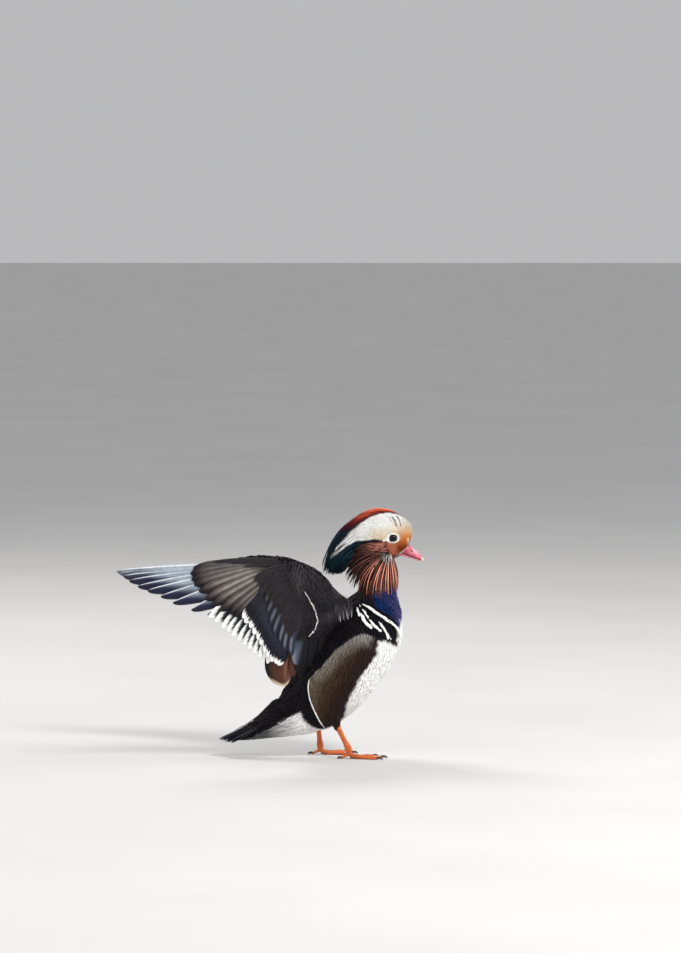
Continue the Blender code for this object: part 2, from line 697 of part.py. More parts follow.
def build_tail(collection):
    """The tail: the soft core under it, its stiff feathers, and the coverts above and below their roots."""
    core = loft_mesh("tail", body_rings(TAIL_CORE, TAIL_RINGS, TAIL_SEGMENTS))
    pieces = tail_fan(7, (-100, 53), (-158.5, 23.0), (11, 13), (4.0, 3.0), 15, 13)
    pieces += tail_fan(5, (-76, 80), (-126, 38.5), (13, 12), (5.4, 4.4), 9, 15)
    joined = combine("tail", core, pieces, "UNION", collection)
    joined = combine("tail", joined, [torso_mesh(GAP)], "DIFFERENCE", collection)
    finish_node("tail", keep_largest(joined), collection, (0.04, 0.035, 0.04))


# ---------------------------------------------------------------- legs and feet


@dataclass(frozen=True)
class Leg:
    """One leg: hip inside the body, ankle at the feather line, joint over the toes (x, z), in mm; heading."""

    side: int
    hip: tuple
    ankle: tuple
    joint: tuple
    heading: float

    def point(self, pair, spread=FOOT_SPREAD):
        """A point of the leg in the bird frame."""
        return Vector((pair[0] * MM, self.side * spread, pair[1] * MM))


RIGHT_LEG = Leg(RIGHT, (-9, 58), (-2.6, 37.7), (12.0, 11.0), -6)
LEFT_LEG = Leg(LEFT, (-26, 58), (-30.5, 33.5), (-26.0, 10.5), 8)
# Toes: name, angle outwards from the middle one, length without claw.
TOES = ((-24, 37), (0, 43), (25, 39))
HALLUX_ANGLE, HALLUX_LENGTH = 172, 11.0
TOE_RISE = ((0.0, 6.2), (0.2, 3.0), (0.42, 2.2), (0.8, 1.9), (1.0, 1.3))  # share of length, middle's height
TOE_GIRTH = (1.25, 1.2, 1.08, 0.94, 0.72)  # share of TOE_RADIUS
HIND_RISE = ((0.0, 6.5), (0.5, 3.6), (1.0, 1.0))
CLAW_LENGTH, CLAW_RADIUS = 7.0, 1.7


def leg_mesh(leg):
    """A leg from inside the body down to the joint above the toes."""
    hip, ankle, joint = leg.point(leg.hip), leg.point(leg.ankle), leg.point(leg.joint)
    end = joint + (ankle - joint).normalized() * GAP
    points = [hip, hip.lerp(ankle, 0.55), ankle, ankle.lerp(end, 0.3), ankle.lerp(end, 0.75), end]
    return tube_mesh(points, [r * MM for r in (11.0, 7.5, 4.4, 3.1, 2.9, 3.8)], 12)


def toe_points(leg, angle, length, rises=TOE_RISE):
    """The middle line of a toe that runs out from the joint at an angle, outwards positive."""
    start = leg.point(leg.joint)
    turn = math.radians(leg.heading * leg.side + angle * leg.side)
    way = Vector((math.cos(turn), math.sin(turn), 0))
    return [
        Vector((start.x, start.y, 0)) + way * (share * length * MM) + Vector((0, 0, rise * MM))
        for share, rise in rises
    ]


def claw_mesh(points):
    """A short bent claw at the end of a toe, its point just above the floor."""
    way = Vector((points[-1].x - points[0].x, points[-1].y - points[0].y, 0)).normalized()
    end = points[-1]
    shape = ((-2.0, 0.7, 0.85), (0.5 * CLAW_LENGTH, 0.6, 0.66), (CLAW_LENGTH, -0.3, 0.16))
    middle = [end + way * (out * MM) + Vector((0, 0, up * MM)) for out, up, _ in shape]
    return tube_mesh(middle, [size * CLAW_RADIUS * MM for _, _, size in shape], 5)


def web_mesh(first, second, thick):
    """The skin between two toes, whose front edge falls short of their ends."""
    shares = (0.06, 0.3, 0.6, 0.86)
    path, half, across = [], [], []
    for share in shares:
        spots = [Vector(blend_through([tuple(p) for p in toe], share)) for toe in (first, second)]
        middle = (spots[0] + spots[1]) / 2
        middle.z = min(middle.z, 1.9 * MM) - 0.3 * MM
        gap = spots[1] - spots[0]
        gap.z = 0
        path.append(middle)
        half.append(gap.length / 2 + WEB_SINK)
        across.append(gap)
    return blade_mesh(path, half, half, [thick] * len(path), across)


def cube_mesh(size, place):
    """A cube of that size, moved by a matrix, to cut with."""
    mesh = bpy.data.meshes.new("cutter")
    shape = bmesh.new()
    bmesh.ops.create_cube(shape, size=size)
    shape.transform(place)
    shape.to_mesh(mesh)
    shape.free()
    return mesh


def foot_mesh(leg, collection):
    """A webbed foot: three toes, a short hind toe, claws and webs, with its soles cut flat at the floor."""
    joint, ankle = leg.point(leg.joint), leg.point(leg.ankle)
    up = (ankle - joint).normalized()
    heights, radii = (-6.0, -3.0, 1.0), (2.8, 4.2, 3.8)
    knuckle = tube_mesh([joint + up * high * MM for high in heights], [r * MM for r in radii], 12)
    toes = [toe_points(leg, angle, length) for angle, length in TOES]
    hind = toe_points(leg, HALLUX_ANGLE, HALLUX_LENGTH, HIND_RISE)
    pieces = [tube_mesh(points, [TOE_RADIUS * share for share in TOE_GIRTH], 6) for points in toes]
    pieces += [tube_mesh(hind, [TOE_RADIUS * share for share in (1.0, 0.8, 0.6)], 6)]
    pieces += [claw_mesh(points) for points in toes + [hind]]
    pieces += [web_mesh(toes[i], toes[i + 1], thick) for i, thick in enumerate(WEB_THICKNESS)]
    joined = combine("foot", knuckle, pieces, "UNION", collection)
    floor = cube_mesh(2 * SOLE_CUT, Matrix.Translation(Vector((joint.x, joint.y, -SOLE_CUT))))
    turn = up.to_track_quat("Z", "Y").to_matrix().to_4x4()
    over_joint = Matrix.Translation(joint) @ turn @ Matrix.Translation(Vector((0, 0, JOINT_CUT / 2)))
    above = cube_mesh(JOINT_CUT, over_joint)
    return combine("foot", joined, [floor, above], "DIFFERENCE", collection)


def build_legs(collection):
    """Both legs, cut back to the torso, and both feet."""
    for word, leg in (("right", RIGHT_LEG), ("left", LEFT_LEG)):
        mesh = combine("leg", leg_mesh(leg), [torso_mesh(GAP)], "DIFFERENCE", collection)
        finish_node("leg_" + word, keep_largest(mesh), collection, (0.75, 0.28, 0.06), 0.45)
        foot = keep_largest(foot_mesh(leg, collection))
        finish_node("foot_" + word, foot, collection, (0.7, 0.26, 0.07), 0.45)


# ---------------------------------------------------------------- whole bird


def centre_on_floor(collection):
    """Moves every node so that the origin is on the floor under the middle of the model's box."""
    corners = [vertex.co for item in collection.objects for vertex in item.data.vertices]
    middle = Vector([(min(c[i] for c in corners) + max(c[i] for c in corners)) / 2 for i in range(3)])
    for item in collection.objects:
        item.data.transform(Matrix.Translation(Vector((-middle.x, -middle.y, 0))))


def main():
    """Builds the bird node by node."""
    clear_scene()
    bird = bpy.data.collections.new("mandarin_duck")
    bpy.context.scene.collection.children.link(bird)
    build_torso(bird)
    build_head(bird)
    build_tail(bird)
    build_wings(bird)
    build_legs(bird)
    centre_on_floor(bird)
    bpy.context.view_layer.update()


main()
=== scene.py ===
"""Dresses a mandarin drake for the studio: one skin, a coat of feathers over it, wing and tail vanes, crest,
ruff, eyes, bill, legs and feet, with a camera, soft lights and a pale floor.

Lengths inside the classes are millimetres in the bird frame, the frame that the solids are laid out in: the
plane y = 0 runs between the feet, z = 0 is the floor, +X is ahead and +Y is the bird's left. BirdFrame turns
them into the model's metres. Seen from the right, an outline is a row of (x, z) pairs. On a wing, a runs back
along the hand from the wrist, d down across the chord and h out of the upper side.
"""

import logging
import math
from dataclasses import dataclass, field, replace
from enum import Enum
from itertools import product

import bpy
import numpy as np
from mathutils import Matrix, Vector
from mathutils.bvhtree import BVHTree
from mathutils.kdtree import KDTree


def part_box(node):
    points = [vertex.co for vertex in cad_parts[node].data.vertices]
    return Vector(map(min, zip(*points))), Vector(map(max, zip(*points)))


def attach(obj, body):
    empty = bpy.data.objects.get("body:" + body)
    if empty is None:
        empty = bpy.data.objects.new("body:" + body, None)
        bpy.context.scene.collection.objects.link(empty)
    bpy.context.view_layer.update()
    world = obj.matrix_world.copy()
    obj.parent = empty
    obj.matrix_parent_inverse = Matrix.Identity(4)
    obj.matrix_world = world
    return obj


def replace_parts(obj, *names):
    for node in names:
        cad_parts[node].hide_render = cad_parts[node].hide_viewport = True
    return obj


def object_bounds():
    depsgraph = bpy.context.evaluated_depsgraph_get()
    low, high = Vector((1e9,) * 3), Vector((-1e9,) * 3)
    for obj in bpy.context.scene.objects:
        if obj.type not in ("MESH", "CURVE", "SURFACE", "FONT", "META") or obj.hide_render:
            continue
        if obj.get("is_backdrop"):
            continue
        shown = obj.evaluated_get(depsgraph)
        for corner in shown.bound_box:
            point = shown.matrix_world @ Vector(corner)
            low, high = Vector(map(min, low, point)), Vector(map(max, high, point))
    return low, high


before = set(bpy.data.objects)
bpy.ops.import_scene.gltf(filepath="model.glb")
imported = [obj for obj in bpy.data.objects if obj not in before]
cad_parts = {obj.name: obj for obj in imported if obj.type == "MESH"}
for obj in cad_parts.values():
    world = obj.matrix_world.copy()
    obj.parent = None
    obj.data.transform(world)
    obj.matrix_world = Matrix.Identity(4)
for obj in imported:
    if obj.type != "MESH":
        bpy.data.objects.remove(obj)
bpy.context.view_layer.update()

MM = 0.001
BODY = "root"
TUFT_PATCH = 0.003  # side of a small feather's field on the bake map
HASH = (73856093, 19349663, 83492791)
log = logging.getLogger("drake")

Array = np.ndarray
Draw = np.random.Generator
Outline = tuple[tuple[float, float], ...]
Colour = tuple[float, float, float]
Socket = bpy.types.NodeSocket
Piece = bpy.types.Object
Mesh = bpy.types.Mesh
Items = bpy.types.bpy_prop_collection


# ---------------------------------------------------------------- numbers


def through(rows: Array, shares: Array) -> Array:
    """Smooth (Catmull-Rom) values some share of the way through rows of numbers.

    Args:
        rows: One row of numbers for each station, first to last.
        shares: Where to read, from 0 at the first row to 1 at the last.

    Returns:
        One row of numbers for each share.
    """
    rows = np.asarray(rows, float)
    place = np.clip(shares, 0, 1) * (len(rows) - 1)
    first = np.minimum(place.astype(int), len(rows) - 2)
    t = (place - first)[:, None]
    p, q, r, s = (rows[np.clip(first + k, 0, len(rows) - 1)] for k in (-1, 0, 1, 2))
    return 0.5 * (2 * q + (r - p) * t + (2 * p - 5 * q + 4 * r - s) * t**2 + (3 * q - p - 3 * r + s) * t**3)


def ramp(value: Array, low: float, high: float) -> Array:
    """A soft step from 0 at low to 1 at high, which may also lie below low."""
    t = np.clip((value - low) / (high - low), 0, 1)
    return t * t * (3 - 2 * t)


def bell(value: Array, middle: float, width: float) -> Array:
    """A soft hump, 1 at the middle and almost 0 two widths away."""
    return np.exp(-(((value - middle) / width) ** 2))


def unit(vectors: Array) -> Array:
    """The vectors at length one."""
    return vectors / np.maximum(np.linalg.norm(vectors, axis=-1, keepdims=True), 1e-9)


def round_trip(values: Array) -> Array:
    """Values over the top of a ring and back under it, with its two edges taken once."""
    return np.concatenate([values, values[-2:0:-1]])


def towards_tip(count: int) -> Array:
    """Stations from 0 to 1 that lie closer near 1."""
    return 1 - (1 - np.linspace(0, 1, count)) ** 1.6


def noise(points: Array, scale: float, seed: int = 0) -> Array:
    """Smooth random values from -1 to 1 that change over about scale.

    Args:
        points: Places, in the same unit as scale.
        scale: Distance between two independent values.
        seed: Chooses the pattern.

    Returns:
        One value for each point.
    """
    cell = points / scale
    base = np.floor(cell).astype(np.int64)
    part = cell - base
    part = part * part * (3 - 2 * part)
    total = np.zeros(points.shape[:-1])
    for corner in product((0, 1), repeat=points.shape[-1]):
        near = np.array(corner)
        mixed = ((base + near) * np.array(HASH)[: len(near)]).sum(-1) + seed * 15485863
        mixed = (mixed ^ (mixed >> 13)) * 1274126177
        mixed = (mixed ^ (mixed >> 16)) & 0xFFFF
        total += np.where(near == 1, part, 1 - part).prod(-1) * (mixed / 32767.5 - 1)
    return total


def curve(control: Array, shares: Array) -> Array:
    """Points on quadratic curves.

    Args:
        control: Three points for each curve, shaped (curves, 3, 3).
        shares: Stations along each, from 0 to 1.

    Returns:
        Points shaped (curves, stations, 3).
    """
    t = shares[None, :, None]
    first, middle, last = (control[:, None, k] for k in range(3))
    return first * (1 - t) ** 2 + middle * 2 * t * (1 - t) + last * t**2


def thin_out(places: Array, gap: Array, draw: Draw) -> Array:
    """Picks places in a random order so that none lies nearer to an earlier one than its gap.

    Args:
        places: The places to pick from.
        gap: The least distance around each.
        draw: The random numbers.

    Returns:
        The numbers of the places picked.
    """
    rows, reach = places.tolist(), gap.tolist()
    tree = KDTree(len(rows))
    for number, row in enumerate(rows):
        tree.insert(row, number)
    tree.balance()
    taken, picked = np.zeros(len(rows), bool), []
    for number in draw.permutation(len(rows)).tolist():
        if not taken[number]:
            picked.append(number)
            taken[[hit[1] for hit in tree.find_range(rows[number], reach[number])]] = True
    return np.array(picked)


# ---------------------------------------------------------------- colours


class Shade(Enum):
    """The bird's colours as the eye sees them, each channel from 0 to 255."""

    WHITE = (250, 249, 246)
    CREAM = (232, 217, 188)
    BUFF = (216, 166, 116)
    AMBER = (206, 122, 56)
    AMBER_DEEP = (122, 54, 20)
    TERRA = (190, 110, 84)
    CHEEK = (98, 42, 38)
    CHEEK_DARK = (64, 24, 30)
    RUST = (232, 94, 58)
    MAROON = (112, 30, 34)
    PLUM = (48, 18, 34)
    TEAL = (8, 36, 46)
    NAPE = (8, 20, 30)
    STREAK = (92, 84, 62)
    THROAT = (168, 148, 152)
    HACKLE = (140, 48, 34)
    HACKLE_SHAFT = (255, 180, 154)
    HACKLE_EDGE = (44, 14, 18)
    PURPLE = (102, 88, 148)
    BLUE = (10, 40, 88)
    NECK = (24, 20, 27)
    BACK = (12, 10, 16)
    SCAPULAR = (26, 22, 29)
    INK = (9, 10, 18)
    FLANK = (76, 58, 43)
    FLANK_PALE = (168, 163, 158)
    FLANK_OLIVE = (124, 113, 93)
    FLANK_WARM = (56, 38, 29)
    FLANK_DARK = (46, 32, 32)
    # the grey of the painted shadow under the tail, also used for lines in the shoulder tuft
    VENT_SHADE = (88, 88, 90)
    BELLY = (252, 251, 249)
    COVERT = (34, 31, 36)
    COVERT_WARM = (98, 87, 82)
    COVERT_COOL = (44, 48, 66)
    COVERT_DARK = (10, 9, 13)
    SLATE = (66, 76, 94)
    STEEL = (142, 154, 168)
    SILVER_EDGE = (218, 224, 230)
    SILVER = (160, 168, 176)
    VIOLET = (30, 32, 62)
    QUILL_TIP = (18, 24, 30)
    SPECULUM = (16, 34, 44)
    UNDERWING = (70, 64, 66)
    SAIL = (84, 48, 34)
    SAIL_PALE = (170, 116, 98)
    TAIL = (11, 12, 23)
    TAIL_EDGE = (38, 40, 56)
    TUFT = (64, 61, 70)
    TUFT_PALE = (190, 188, 194)
    BILL = (226, 120, 140)
    # pink of the painted highlight along the bill's ridge
    BILL_PALE = (246, 188, 200)
    BILL_DEEP = (166, 58, 80)
    NAIL = (246, 214, 192)
    SHANK = (196, 86, 20)
    SHANK_PALE = (226, 130, 52)
    WEB = (120, 58, 30)
    CLAW = (52, 36, 30)
    EYE = (8, 5, 5)
    LID = (238, 226, 214)

    @property
    def linear(self) -> Array:
        """The colour in linear light."""
        seen = np.array(self.value) / 255
        return np.where(seen <= 0.04045, seen / 12.92, ((seen + 0.055) / 1.055) ** 2.4)


def mix(under: "Shade | Array", over: "Shade | Array", cover: Array | float) -> Array:
    """One colour laid over another with a cover from 0 to 1."""
    low, high = (colour.linear if isinstance(colour, Shade) else colour for colour in (under, over))
    return low + (high - low) * np.asarray(cover)[..., None]


def blend_shades(shades: tuple[Shade, ...], stops: tuple[float, ...], value: Array) -> Array:
    """Colours along a row of shades.

    Args:
        shades: The shades in order.
        stops: The value at which each is pure, rising.
        value: Where to read.

    Returns:
        A linear colour for each value.
    """
    rows = np.array([shade.linear for shade in shades])
    return np.stack([np.interp(value, stops, rows[:, k]) for k in range(3)], axis=-1)


def line_distance(spots: Array, line: Outline, closed: bool = False) -> Array:
    """How far each spot is from a line of straight stretches."""
    corners = np.array(line, float)
    ends = np.roll(corners, -1, axis=0) if closed else corners[1:]
    starts = corners if closed else corners[:-1]
    nearest = np.full(spots.shape[:-1], np.inf)
    for start, end in zip(starts, ends):
        along = end - start
        share = np.clip(((spots - start) @ along) / (along @ along), 0, 1)
        nearest = np.minimum(nearest, np.linalg.norm(spots - start - share[..., None] * along, axis=-1))
    return nearest


def inside(spots: Array, outline: Outline) -> Array:
    """Whether each spot lies inside a closed outline."""
    corners = np.array(outline, float)
    found = np.zeros(spots.shape[:-1], bool)
    for (x0, z0), (x1, z1) in zip(corners, np.roll(corners, -1, axis=0)):
        crosses = (z0 > spots[..., 1]) != (z1 > spots[..., 1])
        level = np.where(z1 == z0, 1, z1 - z0)
        found ^= crosses & (spots[..., 0] < x0 + (spots[..., 1] - z0) * (x1 - x0) / level)
    return found


@dataclass(frozen=True)
class Mark:
    """Something painted on the bird in one colour, as seen from the side."""

    line: Outline
    shade: Shade

    def cover(self, points: Array) -> Array:
        """How much of the mark's colour lies on each point, from 0 to 1."""
        raise NotImplementedError

    def lay(self, colour: Array, points: Array) -> Array:
        """The points' colours with the mark laid over them."""
        return mix(colour, self.shade, self.cover(points))


@dataclass(frozen=True)
class Patch(Mark):
    """An area with a soft, ragged edge."""

    soft: float = 1.6
    ragged: float = 1.2
    grain: float = 4.0
    strength: float = 1.0

    def cover(self, points: Array) -> Array:
        """As in Mark."""
        spots = points[..., (0, 2)]
        depth = line_distance(spots, self.line, True) * np.where(inside(spots, self.line), 1, -1)
        depth = depth + self.ragged * noise(points, self.grain, len(self.line))
        return self.strength * ramp(depth, -self.soft, self.soft)


@dataclass(frozen=True)
class Streak(Mark):
    """A narrow line, a little uneven along its edges."""

    width: float
    soft: float = 0.7
    strength: float = 1.0

    def cover(self, points: Array) -> Array:
        """As in Mark."""
        far = line_distance(points[..., (0, 2)], self.line) + 0.35 * noise(points, 2.5, 3)
        return self.strength * ramp(far, self.width / 2 + self.soft, self.width / 2 - self.soft)


@dataclass(frozen=True)
class Markings:
    """What colours the head and the body, for the skin and the feathers alike."""

    head_floor: tuple[float, float] = (236, 246)
    stripe: Patch = Patch((
        (96, 299), (93, 303), (87.2, 310.2), (75.6, 316.6), (64, 318.9), (52.4, 317.7), (39.6, 313.7),
        (26.9, 305.5), (17.6, 298.5), (12.6, 294.2), (9, 288), (4.6, 284), (4.2, 279.6), (8.5, 278.8),
        (15, 282.2), (22.3, 284.2), (35, 284.9), (46.6, 285.9), (58.2, 284.2), (64, 281.5), (76, 283),
        (80, 286), (97, 286),
    ), Shade.WHITE, 0.9, 0.7, 2.6)
    stripe_ends: tuple[tuple[Outline, float], ...] = (
        (((14, 289), (9.3, 284.8), (1.9, 278.8)), 4.2), (((1.9, 278.8), (-3.1, 274.8), (-6.8, 271.7)), 2.5),
        (((39.2, 285.5), (29.2, 285), (21.8, 284), (14.3, 281.8), (7.4, 277.2), (0.9, 271.8), (-5.6, 266.8)), 2.2),
        (((-5.6, 266.8), (-9.8, 263.5)), 1.8),
    )
    stripe_gap: Streak = Streak(((5.6, 278.6), (0, 274.4), (-6, 269.6), (-10.5, 266.2)), Shade.NAPE, 2.4, 0.6)
    stripe_line: Streak = Streak((
        (13, 286.6), (18, 287.6), (25, 288), (34, 287.8),
    ), Shade.STREAK, 0.9, 0.5, 0.5)
    teal: Patch = Patch((
        (57, 285), (40, 286.5), (24, 287), (13, 296), (-10, 292), (-40, 250), (-20, 236), (12, 246),
        (15, 260.7), (22, 272.2), (31, 280), (45, 282.5),
    ), Shade.TEAL, 1.6, 1.4)
    lores: Patch = Patch((
        (78, 299), (84, 305), (97, 303), (97, 286), (90, 272), (84, 264), (78.6, 263.5),
        (74.5, 265.5), (73, 272), (73.5, 281), (76, 285),
    ), Shade.BUFF, 4.2, 0.8)
    below_eye: Patch = Patch((
        (56, 282.5), (77, 283), (80, 272), (78, 264), (68, 263.5), (62.5, 267), (57, 274),
    ), Shade.TERRA, 3.6, 1.4)
    bill_line: Streak = Streak((
        (88.6, 285.4), (89, 277.4), (86.7, 272.7), (82, 268.7), (77.6, 265.8),
    ), Shade.CREAM, 2.2, 0.8, 0.8)
    brow_streaks: tuple[Streak, ...] = (
        Streak(((68.4, 313.5), (71.2, 308.6), (73, 302.5)), Shade.STREAK, 1.9, 0.6, 0.92),
        Streak(((74.2, 314.5), (77.2, 309.4), (78.8, 303)), Shade.STREAK, 1.8, 0.6, 0.85),
        Streak(((80.4, 312), (82.4, 304.8)), Shade.STREAK, 1.2, 0.6, 0.5),
        Streak(((63.4, 314), (67, 307.2)), Shade.STREAK, 1.2, 0.6, 0.55),
    )
    crown_floor: Outline = ((-30, 0, 20, 50, 90), (262, 284, 300, 300, 292))
    stripe_top: Outline = (
        (-10, 8, 18, 27, 40, 52, 64, 76, 87), (272, 292, 299, 306, 314, 318, 319, 317, 310),
    )
    vent_roof: Outline = ((-140, -100, -57, -30, 10), (14, 26, 40, 48, 60))
    bars_roof: tuple[float, float] = (206.0, 196.0)
    throat: Patch = Patch((
        (84, 266), (76, 266.5), (66, 258), (60, 246), (70, 240), (84, 255),
    ), Shade.THROAT, 2.4, 1, strength=0.95)
    cream_rows: Outline = ((90, 299), (78, 296), (58, 289.5), (46, 289))
    eye_ring: tuple[float, float, float, float] = (68.6, 287, 9, 6.9)
    eye_corner: Streak = Streak(((62, 285.4), (56.5, 284.2)), Shade.WHITE, 3.4, 0.8)
    flank: Patch = Patch((
        (-40.9, 103.3), (-28.3, 117.4), (-17.1, 128.7), (-5.8, 142.8), (8.2, 154.1), (19.4, 161.1),
        (29.3, 164.8), (39.1, 162), (50, 156), (49.5, 137.2), (37, 120.3), (26, 103.3), (15, 80.7), (9, 58.2),
        (4, 40), (0, 30), (-16, 34), (-20.4, 40.6), (-31.6, 60.8), (-38.7, 80.5), (-40.6, 94.6),
    ), Shade.FLANK, 0.9, 0.4, 3)
    belly: Patch = Patch((
        (48.9, 154.1), (46.1, 137.2), (33.5, 120.3), (22.3, 103.3), (11, 80.7), (5.4, 58.2), (1.2, 46.9),
        (-3, 36), (-6, 20), (60, 20), (130, 60), (130, 190), (79.4, 187.5), (76.6, 170),
        (72.9, 147.5), (65.9, 151.2), (58.5, 154),
    ), Shade.BELLY, 1.8, 2.4, 5)
    undertail: Patch = Patch((
        (-51, 61.5), (-67.9, 53.1), (-84.8, 43.2), (-101.7, 33.3), (-115, 26.6), (-150, 10), (-20, 10),
        (-18, 33), (-28.4, 38.9), (-38.3, 43.2), (-46.7, 50.3),
    ), Shade.BELLY, 1.6, 1.4)
    breast: Patch = Patch((
        (43.4, 206), (46, 250), (100, 250), (100, 190), (80.5, 187), (77, 168),
        (67.4, 177), (56.1, 184), (47, 193),
    ), Shade.BLUE, 2.5, 1.5)
    bars_ground: Patch = Patch((
        (22.8, 202), (19.8, 194.6), (25.7, 183.4), (28.7, 175.9), (34.7, 165.4), (42.1, 159.4), (51, 157.2),
        (58.5, 155), (65.9, 151.2), (71.1, 148.5), (73.5, 151), (77, 168.4), (75.3, 172.9), (67.4, 183.4),
        (54, 193.1), (40.6, 201.3), (28.7, 205.8),
    ), Shade.INK, 1.2, 0.8)
    # painted sheen: a slightly lighter patch where the shoulder catches the light
    shoulder: Patch = Patch((
        (-26, 214), (4, 206), (12, 192), (2, 178), (-14, 182), (-30, 196),
    ), Shade.SCAPULAR, 4, 2)

    def head(self, points: Array) -> Array:
        """Linear colours of the head, crest and nape.

        Args:
            points: Places in the bird frame.

        Returns:
            A linear colour for each point.
        """
        x, y, z = points[..., 0], np.abs(points[..., 1]), points[..., 2]
        fan = noise(points, 3.5, 21)
        colour = blend_shades((Shade.CHEEK_DARK, Shade.CHEEK), (26, 58), x + 5 * fan)
        colour = mix(colour, self._crown(x, z, fan), ramp(z - np.interp(x, *self.crown_floor), -1, 3))
        lores = blend_shades((Shade.AMBER_DEEP, Shade.AMBER, Shade.BUFF, Shade.CREAM), (275, 286, 294, 306),
                             z - 0.12 * np.abs(x - 80) + 1.2 * noise(points, 5, 6))
        blush = blend_shades((Shade.CHEEK, Shade.TERRA), (54, 66), x + 0.4 * (z - 272) + fan)
        colour = mix(colour, blush, self.below_eye.cover(points))
        colour = mix(colour, lores, self.lores.cover(points))
        colour = self.teal.lay(self.throat.lay(colour, points), points)
        colour = mix(colour, Shade.NAPE, 0.8 * ramp(noise(points, 9, 5), -0.2, 0.9) * self.teal.cover(points))
        colour = self.stripe_gap.lay(colour, points)
        colour = mix(colour, *self._stripe(points))
        gap = replace(self.stripe_gap, width=1.5, soft=0.4, strength=0.95)
        for mark in (gap, self.stripe_line, *self.brow_streaks):
            colour = mark.lay(colour, points)
        middle_x, middle_z, half_x, half_z = self.eye_ring
        round_eye = np.hypot((x - middle_x) / half_x, (z - middle_z) / half_z)
        colour = mix(colour, Shade.WHITE, ramp(round_eye, 1.08, 0.86))
        colour = self.eye_corner.lay(colour, points)
        return mix(colour, Shade.CREAM, self.bill_line.cover(points) * ramp(y, 4, 8))

    def body(self, points: Array) -> Array:
        """Linear colours of the neck, torso, rump and tail's coverts.

        Args:
            points: Places in the bird frame.

        Returns:
            A linear colour for each point.
        """
        x, y, z = points[..., 0], np.abs(points[..., 1]), points[..., 2]
        colour = blend_shades((Shade.BACK, Shade.SCAPULAR), (-0.6, 1.4), noise(points, 14, 8))
        # the shoulder patch laid here is painted sheen
        colour = self.shoulder.lay(mix(colour, Shade.NECK, ramp(z, 192, 204)), points)
        ahead = x - 0.25 * (200 - z) + 5 * noise(points, 8, 4)
        blue = blend_shades((Shade.BLUE, Shade.PURPLE), (60, 83), ahead)
        colour = mix(colour, blue, self.breast.cover(points))
        colour = self.bars_ground.lay(colour, points)
        colour = mix(colour, self._flank(points), self.flank.cover(points))
        colour = self.belly.lay(colour, points)
        under = ramp(y, 16, 9) * ramp(x, 16, 4) * ramp(z - np.interp(x, *self.vent_roof), 4, 0)
        # painted shadow: the white under the tail greys towards its tip, in the tail's shade
        vent = blend_shades((Shade.VENT_SHADE, Shade.BELLY), (-94, -54), x)
        return mix(colour, vent, np.maximum(self.undertail.cover(points), under))

    def barring(self, points: Array) -> Array:
        """How strongly the flank's fine wavy bars show at each point, from 0 to 1."""
        belly = replace(self.belly, soft=2.4, ragged=2.2, grain=3.4).cover(points)
        flank = replace(self.flank, soft=1.0, ragged=0.5).cover(points)
        return flank * (1 - belly) * ramp(points[..., 2], *self.bars_roof)

    def paint(self, points: Array) -> Array:
        """Linear colours anywhere on the bird but its wings, with the barring as a fourth value."""
        low, high = self.head_floor
        lift = ramp(points[..., 2], low, high)
        colour = mix(self.body(points), self.head(points), lift)
        return np.concatenate([colour, (self.barring(points) * (1 - lift))[..., None]], axis=-1)

    def _crown(self, x: Array, z: Array, fan: Array) -> Array:
        """The crown's reds, which darken down the nape and along the pale stripe."""
        crown = blend_shades((Shade.NAPE, Shade.NAPE, Shade.PLUM, Shade.MAROON, Shade.RUST, Shade.RUST),
                             (-30, -8, 4, 16, 36, 80), x + 2 * fan)
        over_stripe = (z - np.interp(x, *self.stripe_top)) / np.interp(x, (8, 25, 55, 80), (11, 8.5, 4, 3))
        return mix(crown, Shade.PLUM, 0.92 * ramp(over_stripe, 1.1, 0.25))

    def _stripe(self, points: Array) -> tuple[Array, Array]:
        """The pale stripe over the eye: its colours, with painted shade towards the forehead's front, and how much
        of them lies on each point.
        """
        x, y, z = points[..., 0], np.abs(points[..., 1]), points[..., 2]
        white = self.stripe.cover(points) * (1 - 0.9 * ramp(y, 5.5, 1) * ramp(z, 312, 317))
        white = white * (1 - ramp(x, 72, 82) * ramp(z, 304, 289))
        for line, width in self.stripe_ends:
            white = np.maximum(white, Streak(line, Shade.WHITE, width, 0.6).cover(points))
        near_row = ramp(line_distance(points[..., (0, 2)], self.cream_rows), 17, 0)
        front = ramp(x, 62, 84) * ramp(z, 306, 290) + 0.35 * ramp(x, 44, 56) * ramp(z, 292, 286)
        pale = mix(mix(Shade.WHITE, Shade.CREAM, 0.9 * near_row), Shade.BUFF, np.clip(0.6 * front, 0, 1))
        # painted shade: the pale colours darkened towards the forehead's front, where it turns from the light
        return pale * (1 - 0.28 * ramp(x, 76, 90))[..., None], white

    def _flank(self, points: Array) -> Array:
        """The flank's browns: greyish above, olive behind, warm in the middle, dark along the belly."""
        spots = points[..., (0, 2)]
        front = line_distance(spots, self.belly.line[:8]) + 2.5 * noise(points, 13, 12)
        front = front - 5 * ramp(spots[..., 1], 90, 50)
        browns = (Shade.FLANK_DARK, Shade.FLANK_DARK, Shade.FLANK_WARM, Shade.FLANK, Shade.FLANK_OLIVE)
        colour = blend_shades(browns, (0, 5, 16, 31, 54), front)
        high = ramp(line_distance(spots, self.flank.line[1:8]), 20, 1)
        high = high * (0.45 + 0.4 * ramp(spots[..., 0], 0, 30))
        return mix(colour, Shade.FLANK_PALE, high * ramp(front, 2, 14))


# ---------------------------------------------------------------- frame and meshes


